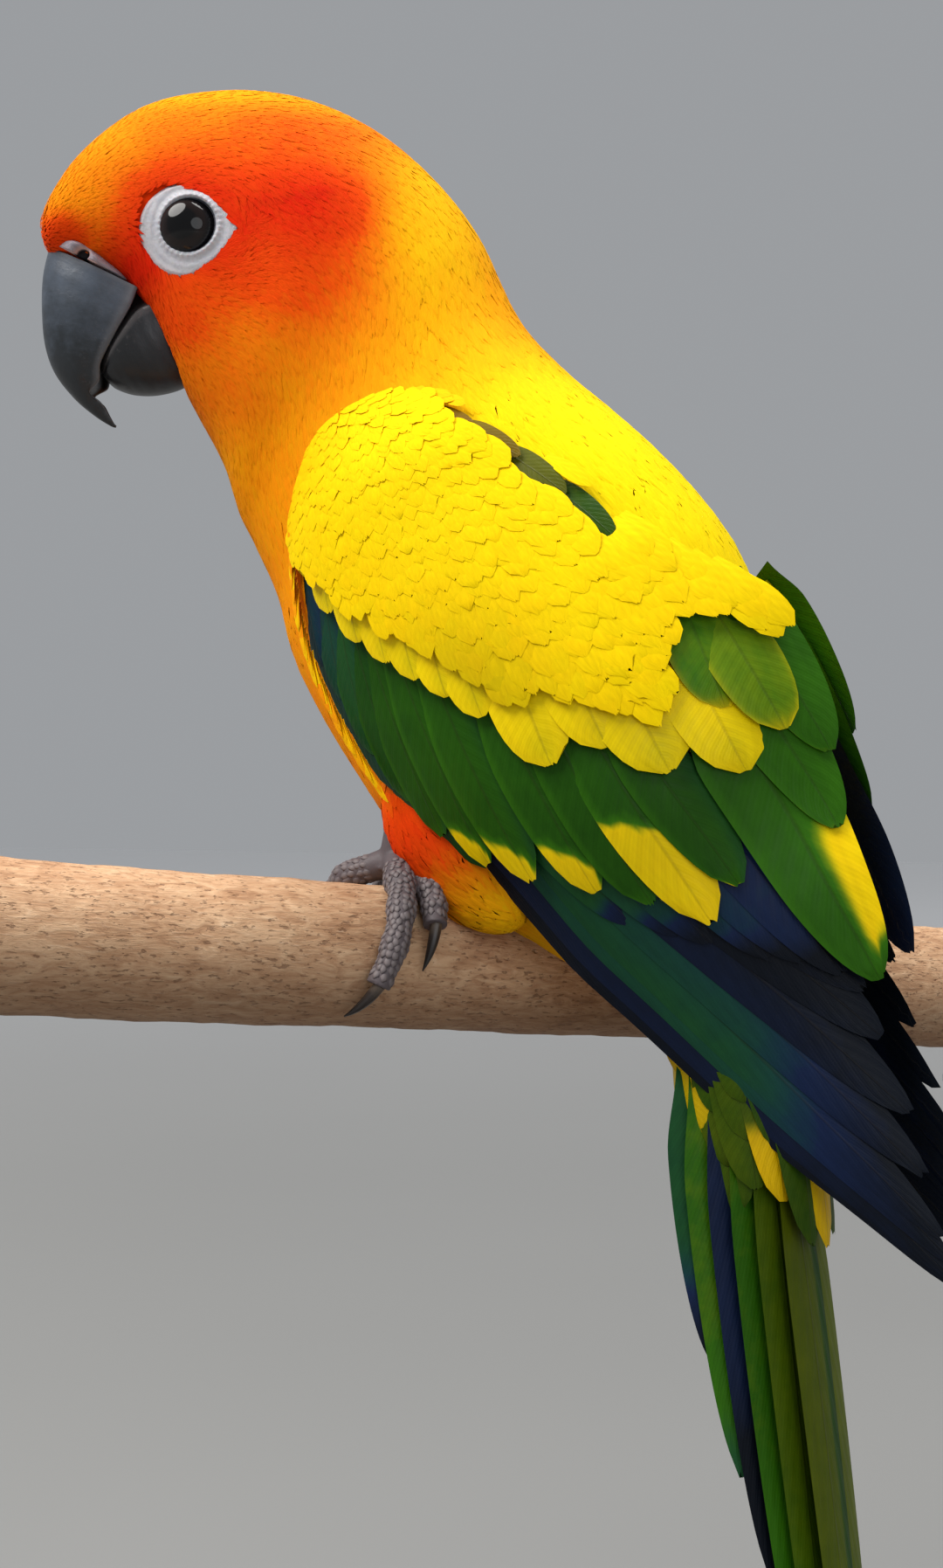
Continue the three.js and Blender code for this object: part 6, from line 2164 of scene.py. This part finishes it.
def set_studio():
    world = bpy.data.worlds.new("studio")
    world.use_nodes = True
    background = world.node_tree.nodes["Background"]
    background.inputs["Color"].default_value = (0.86, 0.89, 0.93, 1.0)
    background.inputs["Strength"].default_value = 0.38
    bpy.context.scene.world = world
    bpy.context.scene.view_settings.view_transform = "Standard"
    for name, place, size, watts, colour in LAMPS:
        add_light(name, place, LIT, size, watts, colour)
    bpy.ops.mesh.primitive_plane_add(size=8.0, location=(0, 0, 0))
    floor = bpy.context.object
    floor.name = "floor"
    finish = Finish("floor", 0.8)
    place = finish.place()
    shade = finish.noise(place, 3.0, 2.0)
    east = finish.parts(place, 0)
    north = finish.parts(place, 1)
    # Painted light: the floor pales with distance, for the dim light on its far part, to meet the backdrop.
    far = ((east * east + north * north) ** 0.5).step(0.25, 2.4)
    near = finish.mix((0.22, 0.22, 0.215, 1), (0.25, 0.25, 0.245, 1), shade)
    finish.wear(Base_Color=finish.mix(near, (1.0, 1.0, 1.0, 1), far))
    floor.data.materials.append(finish.material)


set_camera()
set_studio()
plumage = coat_finish()
quills = vane_finish()
down = skin_finish()

rng = np.random.default_rng(26)
skin = build_skin(down)
mark_skin(skin)
dress(skin, "body_plumage", "head", "neck", "torso", "thigh_left", "thigh_right", "wing_left",
      "wing_right", "tail")


def body_coat():
    """The coat of head, neck and body, in pieces along the bird."""
    pieces = []
    spans = [("brow_feathers", 0.5, 20.0, TUFT_FINE, "head_plumage"),
             ("face_feathers", 20.0, 36.0, TUFT_FINE, "head_plumage"),
             ("nape_feathers", 36.0, 68.0, TUFT_FINE, "head_plumage"),
             ("back_feathers", 68.0, 104.0, TUFT, "body_plumage"),
             ("belly_feathers", 104.0, body.reach - 6.0, TUFT, "body_plumage")]
    for name, first, last, shape, slot in spans:
        roots = scatter(body, SIZES, rng, first, last)
        row = roots[:, 0]
        column = roots[:, 1]
        place = body.read(body.points, row, column)
        sizes = size_at(body, row)
        ahead = body.read(body.points, row + sizes[:, 1] * 0.8 / ROW_STEP, column)
        behind = smooth(-3.0, 3.0, EYE["x"] - bird_to_head(place)[:, 0])
        keep = ~near_eye(place, 0.15 - 0.6 * behind) & ~near_eye(ahead, -0.25)
        keep &= ~under_wing(place, 0.6) & ~under_wing(ahead, 0.5)
        roots, row, column, place, sizes = (part[keep] for part in (roots, row, column, place, sizes))
        lowered = place - body.read(body.normals, row, column) * 0.2
        keep = ~inside(bill_tree, lowered, 0.0) | above_cere(place)
        keep &= ~inside(perch_tree, lowered, 0.3)
        roots, place, sizes = roots[keep], place[keep], sizes[keep]
        aside = flow_round_eye(place, np.sign(bird_to_head(place)[:, 1]))
        from_eye = np.linalg.norm(bird_to_head(place)[:, ::2] - (EYE["x"], EYE["z"]), axis=1)
        near = np.exp(-((from_eye / 16) ** 4))
        piece = coat_piece(name, body, roots, sizes, shape, rng, aside * near)
        pieces.append(dress(piece, slot))
    return pieces


# Feathers of a thigh: spacing, length, half width and depth.
THIGH_TUFT = (1.15, 6.0, 1.1, 0.8)
THIGH_PLUME = (1.6, 8.5, 0.75, 0.8)

body_coat()
for side, form in thighs.items():
    roots = scatter(form, [[0, 1.15], [60, 1.1]], rng, 0.5, form.reach - 1.5)
    sizes = np.tile(THIGH_TUFT, (len(roots), 1))
    place = form.read(form.points, roots[:, 0], roots[:, 1])
    keep = ~inside(perch_tree, place, 0.3)
    piece = coat_piece(f"thigh_feathers_{side}", form, roots[keep], sizes[keep], TUFT, rng)
    dress(piece, "body_plumage")
    roots = scatter(form, [[0, 1.4], [60, 1.3]], rng, 6.0, form.reach - 1.0)
    sizes = np.tile(THIGH_PLUME, (len(roots), 1))
    piece = coat_piece(f"thigh_plumes_{side}", form, roots, sizes, LOOSE, rng, lie=LOOSE_LIE)
    dress(piece, "body_plumage")
for side in ("left", "right"):
    for piece in build_wing(side, rng):
        dress(piece, "wing_plumage")
for piece in build_tail(rng):
    dress(piece, "tail_plumage")

horn_upper = horn_finish("bill_upper", srgb(33, 38, 43), srgb(74, 82, 94), srgb(102, 102, 106))
horn_lower = horn_finish("bill_lower", srgb(20, 21, 24), srgb(36, 38, 43), srgb(88, 84, 84))
ring_look = bare_finish("eye_skin", srgb(174, 179, 190), srgb(216, 216, 220))
cere_look = bare_finish("cere_skin", srgb(126, 120, 132), srgb(166, 160, 168))
dress(build_upper_bill(horn_upper), "bill", "bill_upper")
dress(build_lower_bill(horn_lower), "bill", "bill_lower")
dress(build_cere(cere_look), "bare_skin", "cere")
surface_tree = head_surface_tree()
eye_look = eye_finish()
for sign, side in ((1, "left"), (-1, "right")):
    dress(build_eye_ring(sign, surface_tree, ring_look), "bare_skin")
    dress(build_eye(sign, eye_look), "eye", f"eye_{side}")
foot_look = foot_finish("foot_skin")
scale_look = foot_finish("foot_scales")
claw_look = claw_finish()
for side in ("left", "right"):
    build_foot(side, rng, foot_look, scale_look, claw_look)
build_branch(bark_finish())
build_stand(base_finish(), steel_finish())
